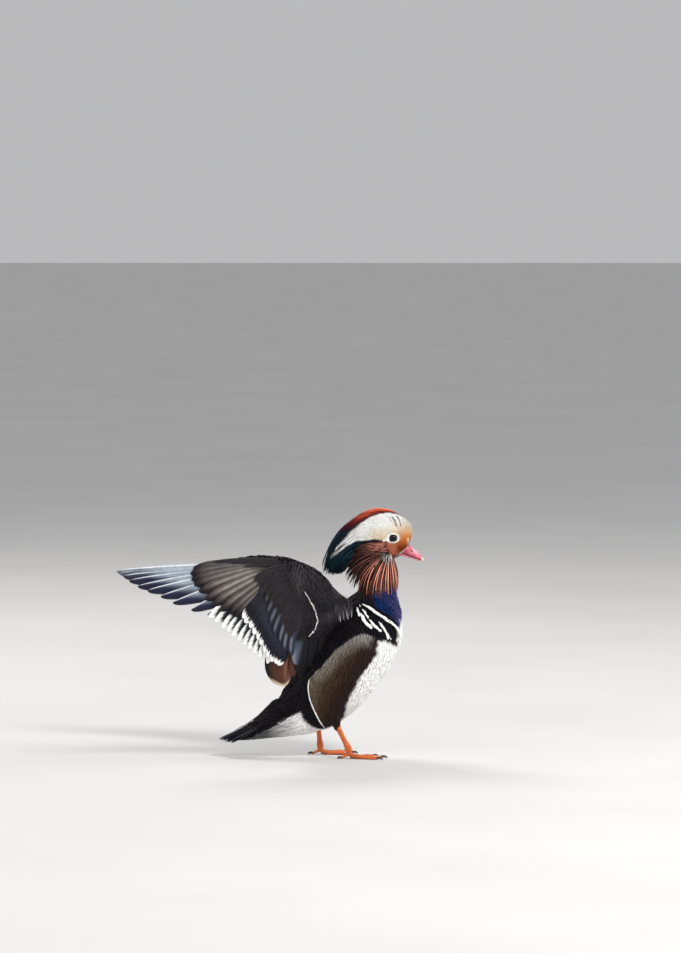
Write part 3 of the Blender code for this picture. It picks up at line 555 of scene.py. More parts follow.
@dataclass(frozen=True)
class BirdFrame:
    """Where the bird frame lies in the model: found from the right eye, whose place the solids share."""

    eye: tuple[float, float, float] = (68.3, -15.6, 286.9)

    def shift(self) -> Array:
        """The bird frame's origin in the model, in metres."""
        low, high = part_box("eye_right")
        return (np.array(low) + np.array(high)) / 2 - np.array(self.eye) * MM

    def to_model(self, points: Array) -> Array:
        """Points of the bird frame as metres in the model."""
        return np.asarray(points) * MM + self.shift()


def new_item(name: str, data: bpy.types.ID) -> Piece:
    """Makes an object of a mesh, light or camera and puts it into the scene."""
    item = bpy.data.objects.new(name, data)
    bpy.context.scene.collection.objects.link(item)
    return item


def adopt(name: str, mesh: Mesh, finish: "Finish") -> Piece:
    """Makes a piece of a mesh, gives it its finish and lets it ride on the body."""
    item = new_item(name, mesh)
    mesh.materials.clear()
    mesh.materials.append(finish.material())
    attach(item, BODY)
    return item


def store(items: Items, name: str, values: Array) -> None:
    """Writes one property of every item of a mesh's collection."""
    items.foreach_set(name, values.astype(np.float32).ravel())


def fetch(items: Items, name: str, wide: int, kind: type = np.float32) -> Array:
    """Rows of one property of every item of a mesh's collection, each so many numbers wide."""
    values = np.empty(len(items) * wide, kind)
    items.foreach_get(name, values)
    return values.reshape(-1, wide)


def tint_mesh(mesh: Mesh, colours: Array) -> None:
    """Gives a mesh its own colour and fourth value at each point."""
    store(mesh.color_attributes.new(name="tint", type="FLOAT_COLOR", domain="POINT").data, "color", colours)


def share_map(count: int, margin: float = 0.03) -> tuple[Array, float]:
    """Low corners and size of equal square fields on the bake map, with a margin round each."""
    across = math.ceil(math.sqrt(count))
    number = np.arange(count)
    low = np.stack((number % across, number // across), axis=-1) + margin
    return low / across, (1 - 2 * margin) / across


@dataclass
class Sheaf:
    """Rings, sheets and tufts gathered with their colours, to become one mesh piece."""

    name: str
    points: list[Array] = field(default_factory=list)
    faces: list[Array] = field(default_factory=list)
    tints: list[Array] = field(default_factory=list)
    spots: list[Array] = field(default_factory=list)
    bakes: list[Array] = field(default_factory=list)
    total: int = 0

    def add_strands(self, rings: Array, tints: Array | float = 0.0, fields: tuple = (0.0, TUFT_PATCH),
                    flip: bool = False) -> None:
        """Adds closed strands, each a row of rings.

        Args:
            rings: Points shaped (strands, stations, ring, 3), rings turning from the side edge up and over.
            tints: Linear colours that fit that shape, three channels or four; a fourth that is left out is 0.
            fields: Low corners of the strands' fields on the bake map, and the fields' size.
            flip: True where the strands are mirrored.
        """
        strands, stations, ring = rings.shape[:3]
        index = np.arange(strands * stations * ring).reshape(strands, stations, ring) + self.total
        beside = np.roll(index, -1, axis=2)
        quads = np.stack((index[:, :-1], beside[:, :-1], beside[:, 1:], index[:, 1:]), axis=-1).reshape(-1, 4)
        rounds, along = np.arange(ring + 1) / ring, np.linspace(0, 1, stations)
        patch = np.empty((stations - 1, ring, 4, 2))
        patch[..., 0] = np.stack((rounds[:-1], rounds[1:], rounds[1:], rounds[:-1]), axis=-1)[None]
        patch[..., 1] = np.stack((along[:-1], along[:-1], along[1:], along[1:]), axis=-1)[:, None]
        turn = 2 * np.pi * rounds[:-1]
        end = 0.5 + 0.06 * np.stack((np.cos(turn), np.sin(turn)), axis=-1)[None]
        low, order = np.broadcast_to(fields[0], (strands, 2))[:, None, None], -1 if flip else 1
        for faces, part in ((quads, patch.reshape(-1, 4, 2)), (index[:, 0, ::-1], end), (index[:, -1], end)):
            self.faces.append(faces[:, ::order])
            mapped = (low + part * fields[1]).reshape(len(faces), -1, 2)
            self.bakes.append(mapped[:, ::order].reshape(-1, 2))
        spot = np.empty((strands, stations, ring, 2))
        spot[..., 0] = np.linspace(1, 0, ring) if ring % 2 else round_trip(np.linspace(1, 0, ring // 2 + 1))
        spot[..., 1] = along[:, None]
        channels = np.shape(tints)[-1:] or (1,)
        colours = np.zeros((*rings.shape[:3], 4))
        colours[..., : 4 if channels[0] == 4 else 3] = np.clip(tints, 0, 1)
        self.points.append(rings.reshape(-1, 3))
        self.tints.append(colours.reshape(-1, 4))
        self.spots.append(spot.reshape(-1, 2))
        self.total += strands * stations * ring

    def to_mesh(self, place: BirdFrame) -> Mesh:
        """Makes the gathered shapes one smooth mesh, in the model's metres."""
        mesh = bpy.data.meshes.new(self.name)
        mesh.vertices.add(self.total)
        store(mesh.vertices, "co", place.to_model(np.concatenate(self.points)))
        corners = np.concatenate([faces.ravel() for faces in self.faces]).astype(np.int32)
        sizes = np.concatenate([np.full(len(faces), faces.shape[1]) for faces in self.faces])
        mesh.loops.add(len(corners))
        mesh.loops.foreach_set("vertex_index", corners)
        mesh.polygons.add(len(sizes))
        mesh.polygons.foreach_set("loop_start", (np.cumsum(sizes) - sizes).astype(np.int32))
        mesh.update(calc_edges=True)
        mesh.shade_smooth()
        tint_mesh(mesh, np.concatenate(self.tints))
        maps = (("Vane", np.concatenate(self.spots)[corners]), ("OFBake", np.concatenate(self.bakes)))
        for name, values in maps:
            store(mesh.uv_layers.new(name=name).uv, "vector", values)
        return mesh

    def to_object(self, place: BirdFrame, finish: "Finish") -> Piece:
        """Makes the gathered shapes one piece that rides on the body, with that finish."""
        return adopt(self.name, self.to_mesh(place), finish)

    def melt(self, place: BirdFrame, voxel: float, smoothing: int) -> Mesh:
        """Melts the gathered shapes into one skin.

        Args:
            place: The bird frame.
            voxel: Width of the skin's faces.
            smoothing: Rounds of smoothing.

        Returns:
            The skin's mesh, named as the sheaf is.
        """
        rough = self.to_mesh(place)
        source = new_item(self.name, rough)
        made = source.modifiers.new("one_skin", "REMESH")
        made.mode, made.voxel_size = "VOXEL", voxel * MM
        eased = source.modifiers.new("eased", "SMOOTH")
        eased.factor, eased.iterations = 0.5, smoothing
        bpy.context.view_layer.update()
        mesh = bpy.data.meshes.new_from_object(source.evaluated_get(bpy.context.evaluated_depsgraph_get()))
        bpy.data.objects.remove(source)
        bpy.data.meshes.remove(rough)
        mesh.name = self.name
        mesh.shade_smooth()
        for layer in list(mesh.uv_layers):
            mesh.uv_layers.remove(layer)
        return mesh


# ---------------------------------------------------------------- finishes


class Weaver:
    """Adds nodes to one material and joins them."""

    def __init__(self, name: str) -> None:
        """Starts a material with a Principled shader."""
        self.material = bpy.data.materials.new(name)
        self.material.use_nodes = True
        self.tree = self.material.node_tree
        self.shader = self.tree.nodes["Principled BSDF"]

    def node(self, kind: str, inputs: dict | None = None, **settings: object) -> bpy.types.Node:
        """Adds a node, sets its properties and fills its inputs with values or with other nodes' outputs."""
        made = self.tree.nodes.new(kind)
        for name, value in settings.items():
            setattr(made, name, value)
        for name, value in (inputs or {}).items():
            self.fill(made.inputs[name], value)
        return made

    def fill(self, socket: Socket, value: object) -> None:
        """Sets a socket, or links it if the value is another socket."""
        if isinstance(value, Socket):
            self.tree.links.new(value, socket)
        else:
            socket.default_value = value

    def math(self, operation: str, *values: object) -> Socket:
        """The result of a Math node."""
        return self.node("ShaderNodeMath", dict(enumerate(values)), operation=operation).outputs[0]

    def times(self, *values: object) -> Socket:
        """The product of two values."""
        return self.math("MULTIPLY", *values)

    def ranged(self, value: object, low: float, high: float, start: float = 0.0, end: float = 1.0) -> object:
        """The value mapped from start..end to low..high."""
        inputs = {"Value": value, "From Min": start, "From Max": end, "To Min": low, "To Max": high}
        return self.node("ShaderNodeMapRange", inputs).outputs[0]

    def varied(self, noise: object, middle: float, swing: float) -> Socket:
        """Values round a middle that follow a noise, whose own run from about 0.3 to 0.7."""
        return self.ranged(noise, middle - swing, middle + swing, 0.3, 0.7)

    def grain(self, scale: float, detail: float = 3.0, stretch: tuple = (1, 1, 1)) -> Socket:
        """Noise in the model's own metres, scale patterns to each metre."""
        place = self.node("ShaderNodeTexCoord").outputs["Object"]
        mapping = self.node("ShaderNodeMapping", {"Vector": place, "Scale": stretch}).outputs[0]
        inputs = {"Vector": mapping, "Scale": scale, "Detail": detail}
        return self.node("ShaderNodeTexNoise", inputs).outputs[0]

    def scaled(self, colour: object, factor: object) -> Socket:
        """A colour made lighter or darker by a factor."""
        inputs = {0: colour, "Scale": factor}
        return self.node("ShaderNodeVectorMath", inputs, operation="SCALE").outputs[0]

    def blended(self, factor: object, first: object, second: object) -> Socket:
        """Two colours mixed."""
        made = self.node("ShaderNodeMix", data_type="RGBA")
        for socket, value in zip((made.inputs[0], made.inputs[6], made.inputs[7]), (factor, first, second)):
            self.fill(socket, value)
        return made.outputs[2]


@dataclass(frozen=True)
class Finish:
    """A surface that takes its colours from the piece's tint and adds grain, roughness and bump."""

    name: str
    roughness: float = 0.6
    mottle: float = 0.25
    grain_scale: float = 700.0
    bump_strength: float = 0.4
    bump_depth: float = 0.00025
    coat: float = 0.0
    specular: float = 0.5

    def material(self) -> bpy.types.Material:
        """The finish as a material, made once and then shared."""
        return bpy.data.materials.get(self.name) or self.weave()

    def weave(self) -> bpy.types.Material:
        """Builds the finish's nodes."""
        weaver = Weaver(self.name)
        tint = weaver.node("ShaderNodeAttribute", attribute_name="tint")
        grain = weaver.grain(self.grain_scale)
        colour, height = self.pattern(weaver, tint.outputs, grain)
        bump = {"Height": height, "Strength": self.bump_strength, "Distance": self.bump_depth}
        values = {
            "Base Color": colour, "Roughness": weaver.varied(grain, self.roughness, 0.12),
            "Normal": weaver.node("ShaderNodeBump", bump).outputs[0], "Coat Weight": self.coat,
            "Coat Roughness": 0.03, "Sheen Roughness": 0.4, "Specular IOR Level": self.specular,
        }
        for socket, value in values.items():
            weaver.fill(weaver.shader.inputs[socket], value)
        return weaver.material

    def pattern(self, weaver: Weaver, tint: bpy.types.NodeOutputs, grain: object) -> tuple[object, object]:
        """The surface's colour and height.

        Args:
            weaver: The material under way.
            tint: The piece's own Color and Alpha.
            grain: Fine noise.

        Returns:
            The colour's socket and the height's socket.
        """
        return weaver.scaled(tint["Color"], weaver.varied(grain, 1, self.mottle)), grain


@dataclass(frozen=True)
class FeatherFinish(Finish):
    """Feathers: slanting barbs, a shaft line, soft mottling, and wavy bars where the tint asks for them."""

    barbs: float = 26.0
    slant: float = 9.0
    barb_tone: float = 0.14
    shaft_tone: float = 0.25
    shaft_width: float = 0.035
    bars_scale: float = 620.0
    bars_turn: float = -28.0

    def pattern(self, weaver: Weaver, tint: bpy.types.NodeOutputs, grain: object) -> tuple[object, object]:
        """Colour and height of feathers.

        Args:
            weaver: The material under way.
            tint: The piece's own Color and Alpha.
            grain: Fine noise.

        Returns:
            The colour's socket and the height's socket.
        """
        times, ranged = weaver.times, weaver.ranged
        spot = weaver.node("ShaderNodeUVMap", uv_map="Vane").outputs[0]
        parts = weaver.node("ShaderNodeSeparateXYZ", {0: spot}).outputs
        from_shaft = weaver.math("ABSOLUTE", weaver.math("SUBTRACT", parts["X"], 0.5))
        along = weaver.math("ADD", times(parts["Y"], self.barbs), times(grain, 0.8))
        turn = weaver.math("SUBTRACT", along, times(from_shaft, self.slant))
        barb = ranged(weaver.math("SINE", times(turn, 2 * math.pi)), 0, 1, -1, 1)
        shaft = ranged(from_shaft, 1, 0, self.shaft_width * 0.4, self.shaft_width)
        tone = weaver.varied(weaver.grain(self.grain_scale * 0.16, 2), 1, self.mottle)
        tone = times(tone, ranged(barb, 1 - self.barb_tone, 1 + self.barb_tone))
        tone = times(tone, ranged(shaft, 1, 1 + self.shaft_tone))
        colour = weaver.scaled(tint["Color"], tone)
        place = weaver.node("ShaderNodeTexCoord").outputs["Object"]
        inputs = {"Vector": place, "Rotation": (0, math.radians(self.bars_turn), 0)}
        turned = weaver.node("ShaderNodeMapping", inputs).outputs[0]
        inputs = {
            "Vector": turned, "Scale": self.bars_scale / 2, "Distortion": 2.6, "Detail": 2, "Detail Scale": 1.6,
        }
        wave = weaver.node("ShaderNodeTexWave", inputs, bands_direction="Z").outputs["Fac"]
        cover = times(times(ranged(wave, 0, 1, 0.42, 0.72), tint["Alpha"]), 0.48)
        colour = weaver.blended(cover, colour, weaver.scaled(colour, 0.34))
        return colour, weaver.math("ADD", barb, times(shaft, 1.5))


@dataclass(frozen=True)
class ScuteFinish(Finish):
    """Bare leg skin: small plates, counted by the tint's fourth value, with dark creases between them."""

    crease: float = 0.3

    def pattern(self, weaver: Weaver, tint: bpy.types.NodeOutputs, grain: object) -> tuple[object, object]:
        """Colour and height of the scutes.

        Args:
            weaver: The material under way.
            tint: The piece's own Color and Alpha.
            grain: Fine noise.

        Returns:
            The colour's socket and the height's socket.
        """
        count = weaver.math("ADD", tint["Alpha"], weaver.varied(grain, 0, 0.12))
        plate = weaver.math("ABSOLUTE", weaver.math("SINE", weaver.times(count, math.pi)))
        plate = weaver.ranged(plate, 0, 1, 0, 0.45)
        tone = weaver.times(weaver.ranged(plate, 1 - self.crease, 1), weaver.varied(grain, 1, self.mottle))
        return weaver.scaled(tint["Color"], tone), weaver.math("ADD", plate, weaver.times(grain, 0.3))


class Finishes:
    """Every finish on the bird."""

    SKIN = Finish("down_skin", 0.8, 0.3, 500, 0.5, 0.0004, specular=0.1)
    BODY = FeatherFinish("body_coat", 0.62, 0.10, 900, 0.25, 0.0001, specular=0.1, barbs=7, slant=3,
                         barb_tone=0.05, shaft_tone=0.06)
    HEAD = FeatherFinish("head_coat", 0.6, 0.05, 1400, 0.15, 0.00006, specular=0.12, barbs=4, slant=2,
                         barb_tone=0.03, shaft_tone=0.03)
    CREST = FeatherFinish("crest_plumes", 0.45, 0.12, 1200, 0.4, 0.00012, specular=0.14,
                          barbs=20, slant=6, barb_tone=0.10, shaft_tone=0.15)
    HACKLE = FeatherFinish("ruff_hackles", 0.5, 0.10, 1200, 0.3, 0.0001, specular=0.15, barbs=22, slant=7,
                           barb_tone=0.10, shaft_tone=0.3, shaft_width=0.14)
    VANE = FeatherFinish("flight_vanes", 0.45, 0.12, 700, 0.4, 0.00014, specular=0.22, barbs=70, slant=16,
                         barb_tone=0.09, shaft_tone=0.35, shaft_width=0.04)
    COVERT = FeatherFinish("covert_vanes", 0.5, 0.16, 700, 0.4, 0.00014, specular=0.16, barbs=30, slant=9,
                           barb_tone=0.10, shaft_tone=0.4, shaft_width=0.05)
    TAIL = FeatherFinish("tail_vanes", 0.45, 0.12, 700, 0.4, 0.00014, specular=0.2, barbs=44, slant=12,
                         barb_tone=0.10, shaft_tone=0.4, shaft_width=0.05)
    BILL = Finish("horn_of_bill", 0.3, 0.08, 420, 0.15, 0.0001, coat=0.25)
    EYE = Finish("wet_eye", 0.5, 0.1, 600, 0, 0.0001, coat=0.5, specular=0)
    LID = Finish("lid_skin", 0.5, 0.08, 1500, 0.4, 0.0002)
    LEG = ScuteFinish("leg_scutes", 0.42, 0.14, 900, 0.6, 0.00025, coat=0.1)
    CLAW = Finish("claw_horn", 0.3, 0.2, 900, 0.2, 0.0001)


# ---------------------------------------------------------------- the body's form


@dataclass(frozen=True)
class Section:
    """A body's section: its middle (x, z), the way its back points, in degrees from +X, and its half sizes."""

    x: float
    z: float
    turn: float
    deep: float
    wide: float


@dataclass(frozen=True)
class Trunk:
    """A round body part through oval sections across the plane y = 0."""

    name: str
    sections: tuple[Section, ...]
    coat: float
    rings: int = 28
    around: int = 40

    def grid(self, grow: float) -> Array:
        """Its rings of points, each half size made larger by grow.

        Args:
            grow: How much larger, negative for smaller.

        Returns:
            Points shaped (rings, around, 3).
        """
        rows = np.array([(s.x, s.z, s.turn, s.deep, s.wide) for s in self.sections])
        x, z, turn, deep, wide = through(rows, np.linspace(0, 1, self.rings)).T
        deep, wide = np.maximum(deep + grow, 0.6)[:, None], np.maximum(wide + grow, 0.6)[:, None]
        angle = np.linspace(0, 2 * np.pi, self.around, endpoint=False)[None]
        back = np.radians(turn)[:, None]
        reach = deep * np.cos(angle)
        made = (x[:, None] + np.cos(back) * reach, wide * np.sin(angle), z[:, None] + np.sin(back) * reach)
        return np.stack(made, axis=-1)


TORSO = Trunk("torso", (
    Section(52, 226, 176, 15, 14), Section(48.5, 213, 172, 26.5, 25), Section(39.7, 187.2, 166, 43.5, 41),
    Section(29.3, 158, 168, 52.5, 51), Section(13.7, 130, 168, 55.2, 55), Section(-5.9, 100.8, 162, 52.6, 53),
    Section(-26, 76.7, 153, 46.5, 46), Section(-45.5, 60.5, 142, 40, 36), Section(-58, 52, 140, 26, 24),
), 2.4)
NECK = Trunk("neck", (
    Section(42, 275, 180, 18, 15), Section(42, 252, 180, 21, 19.5), Section(46, 232, 178, 23, 20),
    Section(48.5, 216, 176, 25, 21), Section(47, 200, 176, 20, 19),
), 2.0, 16)
HEAD = Trunk("head", (
    Section(93.6, 296.4, 90, 4, 3), Section(91.6, 294, 90, 12, 8), Section(86, 289.6, 90, 21.5, 13),
    Section(78, 289.3, 90, 28, 17), Section(67.6, 289, 90, 32.5, 20), Section(55.9, 287.5, 90, 35, 21.5),
    Section(42.9, 286, 90, 35.5, 21.5), Section(29.9, 283.4, 90, 34, 19.5), Section(18.2, 280, 90, 28, 15.5),
    Section(9.1, 277, 90, 19, 10), Section(3.9, 276, 90, 9, 4),
), 1.5, 36)
RUMP = Trunk("tail", (
    Section(-50, 58, 141, 24, 20), Section(-57, 54, 141, 35, 31), Section(-76.7, 45.5, 140, 28, 25),
    Section(-100, 36.5, 138, 18, 18), Section(-121, 28.6, 138, 10, 12), Section(-136.5, 24, 138, 4.5, 7),
    Section(-144, 21.8, 138, 1.5, 3),
), 1.8, 26)


class Side(Enum):
    """A side of the bird, as the sign of y there."""

    RIGHT = -1
    LEFT = 1

    @property
    def word(self) -> str:
        """The side's name in lower case."""
        return self.name.lower()


@dataclass(frozen=True)
class WingPlan:
    """The cambered surface that each wing's feathers lie on, and the arm inside it."""

    wrist: tuple[float, float, float] = (-67.6, -85, 266)
    yaw: float = 12.0
    tilt: float = 6.0
    camber: float = 10.0
    camber_middle: float = 40.0
    camber_chord: float = 80.0
    root_bend: float = 0.0042
    tip_bend: float = 0.0006
    tip_bend_start: float = 100.0
    pivot: tuple[float, float, float] = (6.5, 42, 205)
    far_pitch: float = -0.5
    far_roll: float = -9
    far_drop: float = 6.0
    arm: tuple = (
        ((64, -2), (64, 4), 1.4), ((45, -5), (42, 18), 2.6), ((22, -4), (24, 36), 3.6),
        ((0, -2), (14, 58), 4.6), ((-18, 5), (4, 80), 5.6), ((-37, 14), (-14, 100), 6.8),
        ((-54, 29), (-36, 112), 8.4), ((-70, 49), (-62, 104), 9.4), ((-92, 66), (-90, 90), 8.6),
    )
    arm_profile: Outline = ((0, 0), (0.1, 0.72), (0.35, 1), (0.65, 0.62), (0.9, 0.22), (1, 0))
    coat: float = 0.9

    def axes(self) -> tuple[Array, Array, Array]:
        """The right wing's directions: back along the hand, down across the chord, out of its upper side."""
        yaw, tilt = math.radians(self.yaw), math.radians(self.tilt)
        back = np.array((-math.cos(yaw), -math.sin(yaw), 0))
        level = np.array((math.sin(yaw), -math.cos(yaw), 0))
        down = np.array((0, 0, -1)) * math.cos(tilt) - level * math.sin(tilt)
        return back, down, np.cross(back, down)

    def upward(self, side: Side) -> Array:
        """The way out of the upper face of the wing of that side."""
        return self.axes()[2] * np.array((1, -side.value, 1))

    def point(self, a: Array, d: Array, h: Array) -> Array:
        """Places on the right wing.

        Args:
            a: Distance back along the hand.
            d: Distance down across the chord.
            h: Height above the cambered surface.

        Returns:
            Points of the bird frame.
        """
        back, down, out = self.axes()
        sag = self.camber * ((d - self.camber_middle) / self.camber_chord) ** 2
        sag = sag + self.root_bend * np.minimum(a, 0) ** 2
        sag = sag + self.tip_bend * np.maximum(a - self.tip_bend_start, 0) ** 2
        lift = h - sag
        return np.array(self.wrist) + back * a[..., None] + down * d[..., None] + out * lift[..., None]

    def flat(self, points: Array) -> tuple[Array, Array]:
        """The (a, d) of points on or near the right wing."""
        back, down, _ = self.axes()
        away = points - np.array(self.wrist)
        return away @ back, away @ down

    def arm_grid(self, shrink: float) -> Array:
        """The arm and its skin as rings of points.

        Args:
            shrink: How much thinner each face is than the feathered arm.

        Returns:
            Points shaped (rings, around, 3).
        """
        rows = through([(*lead, *trail, thick) for lead, trail, thick in self.arm], np.linspace(0, 1, 33))
        chord, share = np.array(self.arm_profile).T
        steps = np.linspace(0, 1, 15) ** 1.3
        high = np.sqrt(np.clip(np.interp(steps, chord, share**2), 0, 1))
        high = round_trip(high) * np.where(np.arange(28) < 15, 1, -1)
        lead, trail = rows[:, None, :2], rows[:, None, 2:4]
        spot = lead + (trail - lead) * round_trip(steps)[:, None]
        thick = np.maximum(rows[:, 4] - shrink, 0.9)[:, None]
        return self.point(spot[..., 0], spot[..., 1], high * thick)

    def far_turn(self) -> tuple[Array, Array]:
        """How the left wing is turned, as a matrix, and the shoulder that it turns about."""
        turn = Matrix.Rotation(math.radians(self.far_roll), 3, "X")
        turn = turn @ Matrix.Rotation(math.radians(self.far_pitch), 3, "Y")
        return np.array(turn), np.array(self.pivot)

    def place(self, points: Array, side: Side) -> Array:
        """Right-wing points as they are on the wing of that side."""
        if side is Side.RIGHT:
            return points
        turn, pivot = self.far_turn()
        return (points * np.array((1, -1, 1)) - pivot) @ turn.T + pivot - np.array((0, 0, self.far_drop))

    def unplace(self, points: Array, side: Side) -> Array:
        """Points of the wing of that side as they would be on the right wing."""
        if side is Side.RIGHT:
            return points
        turn, pivot = self.far_turn()
        return ((points + np.array((0, 0, self.far_drop)) - pivot) @ turn + pivot) * np.array((1, -1, 1))


@dataclass
class Skin:
    """One skin over torso, neck, head, rump and both arms, and what the coat needs to grow from it."""

    place: BirdFrame
    markings: Markings
    wing: WingPlan
    voxel: float = 1.5
    smoothing: int = 8
    trunks: tuple[Trunk, ...] = (TORSO, NECK, HEAD, RUMP)
    trunk_half: Outline = ((60, 44), (100, 53), (130, 55), (158, 51), (187, 41), (213, 27), (235, 22))
    # painted shade: how much darker the skin is than the feathers over it
    darker: float = 0.9
    arm_start: float = -100.0
    replaced: tuple[str, ...] = ("torso", "neck", "head", "tail", "wing_right", "wing_left")

    def build(self) -> list[Piece]:
        """Makes the skin, paints it, unwraps it and puts it in the place of the fleshy nodes."""
        rough = Sheaf("skin")
        for trunk in self.trunks:
            rough.add_strands(trunk.grid(-trunk.coat)[None])
        for side in Side:
            grid = self.wing.place(self.wing.arm_grid(self.wing.coat), side)
            rough.add_strands(grid[None], flip=side is Side.LEFT)
        for leg in LEGS:
            rough.add_strands(leg.thigh_grid()[None])
        self.mesh = rough.melt(self.place, self.voxel, self.smoothing)
        self.read()
        self.unwrap()
        tint_mesh(self.mesh, self.colours(self.points))
        item = adopt(rough.name, self.mesh, Finishes.SKIN)
        return [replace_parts(item, *self.replaced)]

    def read(self) -> None:
        """Reads the skin's points, faces and directions, in the bird frame."""
        self.points = (fetch(self.mesh.vertices, "co", 3) - self.place.shift()) / MM
        self.quads = fetch(self.mesh.loops, "vertex_index", 1, np.int32).reshape(-1, 4)
        self.face_normals = unit(fetch(self.mesh.vertices, "normal", 3).astype(float)[self.quads].mean(1))
        self.tree = BVHTree.FromPolygons(self.points.tolist(), self.quads.tolist())

    def unwrap(self) -> None:
        """Unwraps the skin for the bake and keeps the middle of each face on that map."""
        item = new_item("skin_to_unwrap", self.mesh)
        bpy.context.view_layer.objects.active = item
        item.select_set(True)
        layer = self.mesh.uv_layers.new(name="OFBake")
        bpy.ops.object.mode_set(mode="EDIT")
        bpy.ops.mesh.select_all(action="SELECT")
        bpy.ops.uv.smart_project(angle_limit=math.radians(72), island_margin=0.004)
        bpy.ops.object.mode_set(mode="OBJECT")
        bpy.data.objects.remove(item)
        layer = self.mesh.uv_layers["OFBake"]
        self.face_spots = fetch(layer.uv, "vector", 2).reshape(-1, 4, 2).mean(1)

    def colours(self, points: Array) -> Array:
        """The skin's colours: the feathers' markings, darkened as painted shade under and between the feathers."""
        arm = np.append(Shade.COVERT_DARK.linear, 0)
        painted = np.where(self.on_wing(points)[:, None] != 0, arm, self.markings.paint(points))
        return painted * np.array((*[self.darker] * 3, 1))

    def on_wing(self, points: Array) -> Array:
        """-1 or 1 for points on the right or left arm, and 0 for the rest."""
        found = np.zeros(len(points), int)
        for side in Side:
            a, _ = self.wing.flat(self.wing.unplace(points, side))
            out = side.value * points[:, 1]
            clear = out > np.interp(points[:, 2], *np.array(self.trunk_half).T) + 1
            found[(out > 0) & clear & (a > self.arm_start)] = side.value
        return found

    def half_width(self, points: Array, side: Side, start: float = 0.0) -> Array:
        """How far out from the middle plane the skin lies beside each point.

        Args:
            points: Places in the bird frame, of which only x and z count.
            side: The side of the body.
            start: Where the search begins: 0 finds the trunk's side, a far place the outermost skin.

        Returns:
            The skin's distance from the middle plane for each point, 0 where the body has none.
        """
        found = []
        outward = Vector((0, side.value, 0))
        search = -outward if start else outward
        for x, _, z in points.reshape(-1, 3).tolist():
            spot, normal, _, _ = self.tree.ray_cast(Vector((x, 0, z)) + outward * start, search)
            found.append(abs(spot.y) if spot and normal.dot(outward) > 0 else 0)
        return np.array(found, float).reshape(points.shape[:-1])

    def laid(self, spots: Array, side: Side, start: float = 0.0) -> tuple[Array, Array]:
        """Places of the skin beside (x, z) spots, and the ways out of it there."""
        flat = np.insert(spots, 1, 0, axis=-1)
        flat[..., 1] = side.value * self.half_width(flat, side, start)
        return flat, self.nearest(flat)[1]

    def nearest(self, points: Array) -> tuple[Array, Array, Array]:
        """The skin's nearest spots.

        Args:
            points: Places in the bird frame.

        Returns:
            Nearest places, directions out of the skin there, and the faces' numbers, one for each point.
        """
        found = [self.tree.find_nearest(Vector(point)) for point in points.reshape(-1, 3).tolist()]
        faces = np.array([hit[2] for hit in found]).reshape(points.shape[:-1])
        places = np.array([tuple(hit[0]) for hit in found]).reshape(points.shape)
        return places, self.face_normals[faces], faces

    def combed(self, roots: Array, way: Array, reach: Array) -> tuple[Array, Array]:
        """Feathers laid flat over the skin.

        Args:
            roots: Where they grow.
            way: The way each one points.
            reach: How far from its root each of its stations is, shaped (feathers, stations).

        Returns:
            The stations' places on the skin and the ways out of it there.
        """
        return self.nearest(roots[:, None] + way[:, None] * reach[..., None])[:2]

    def fields(self, faces: Array) -> tuple[Array, float]:
        """Low corners and size of small feathers' fields on the bake map, at their faces of the skin."""
        return self.face_spots[faces] - TUFT_PATCH / 2, TUFT_PATCH

    def along(self, way: Array, faces: Array) -> Array:
        """Ways turned to run along the skin's faces."""
        up = self.face_normals[faces]
        return unit(way - up * (way * up).sum(1, keepdims=True))


def tube(points: Array, radii: Array, around: int = 20, flat: Array | None = None) -> Array:
    """Rings of a round tube of changing radius.

    Args:
        points: Its middle line, shaped (stations, 3), not along y.
        radii: Half width of each ring.
        around: Points in each ring.
        flat: Height of each ring as a share of its width, 1 if left out.

    Returns:
        Points shaped (stations, around, 3).
    """
    ahead = unit(np.gradient(points, axis=0))
    level = np.cross(ahead, (0, 0, 1))
    level = np.where(np.linalg.norm(level, axis=-1, keepdims=True) < 0.05, (0, 1, 0), level)
    side = unit(level)
    up = np.cross(side, ahead)
    turn = np.linspace(0, 2 * np.pi, around, endpoint=False)
    tall = np.ones(len(points)) if flat is None else flat
    return (
        points[:, None]
        - side[:, None] * (np.cos(turn)[None, :, None] * radii[:, None, None])
        + up[:, None] * (np.sin(turn)[None, :, None] * (radii * tall)[:, None, None])
    )


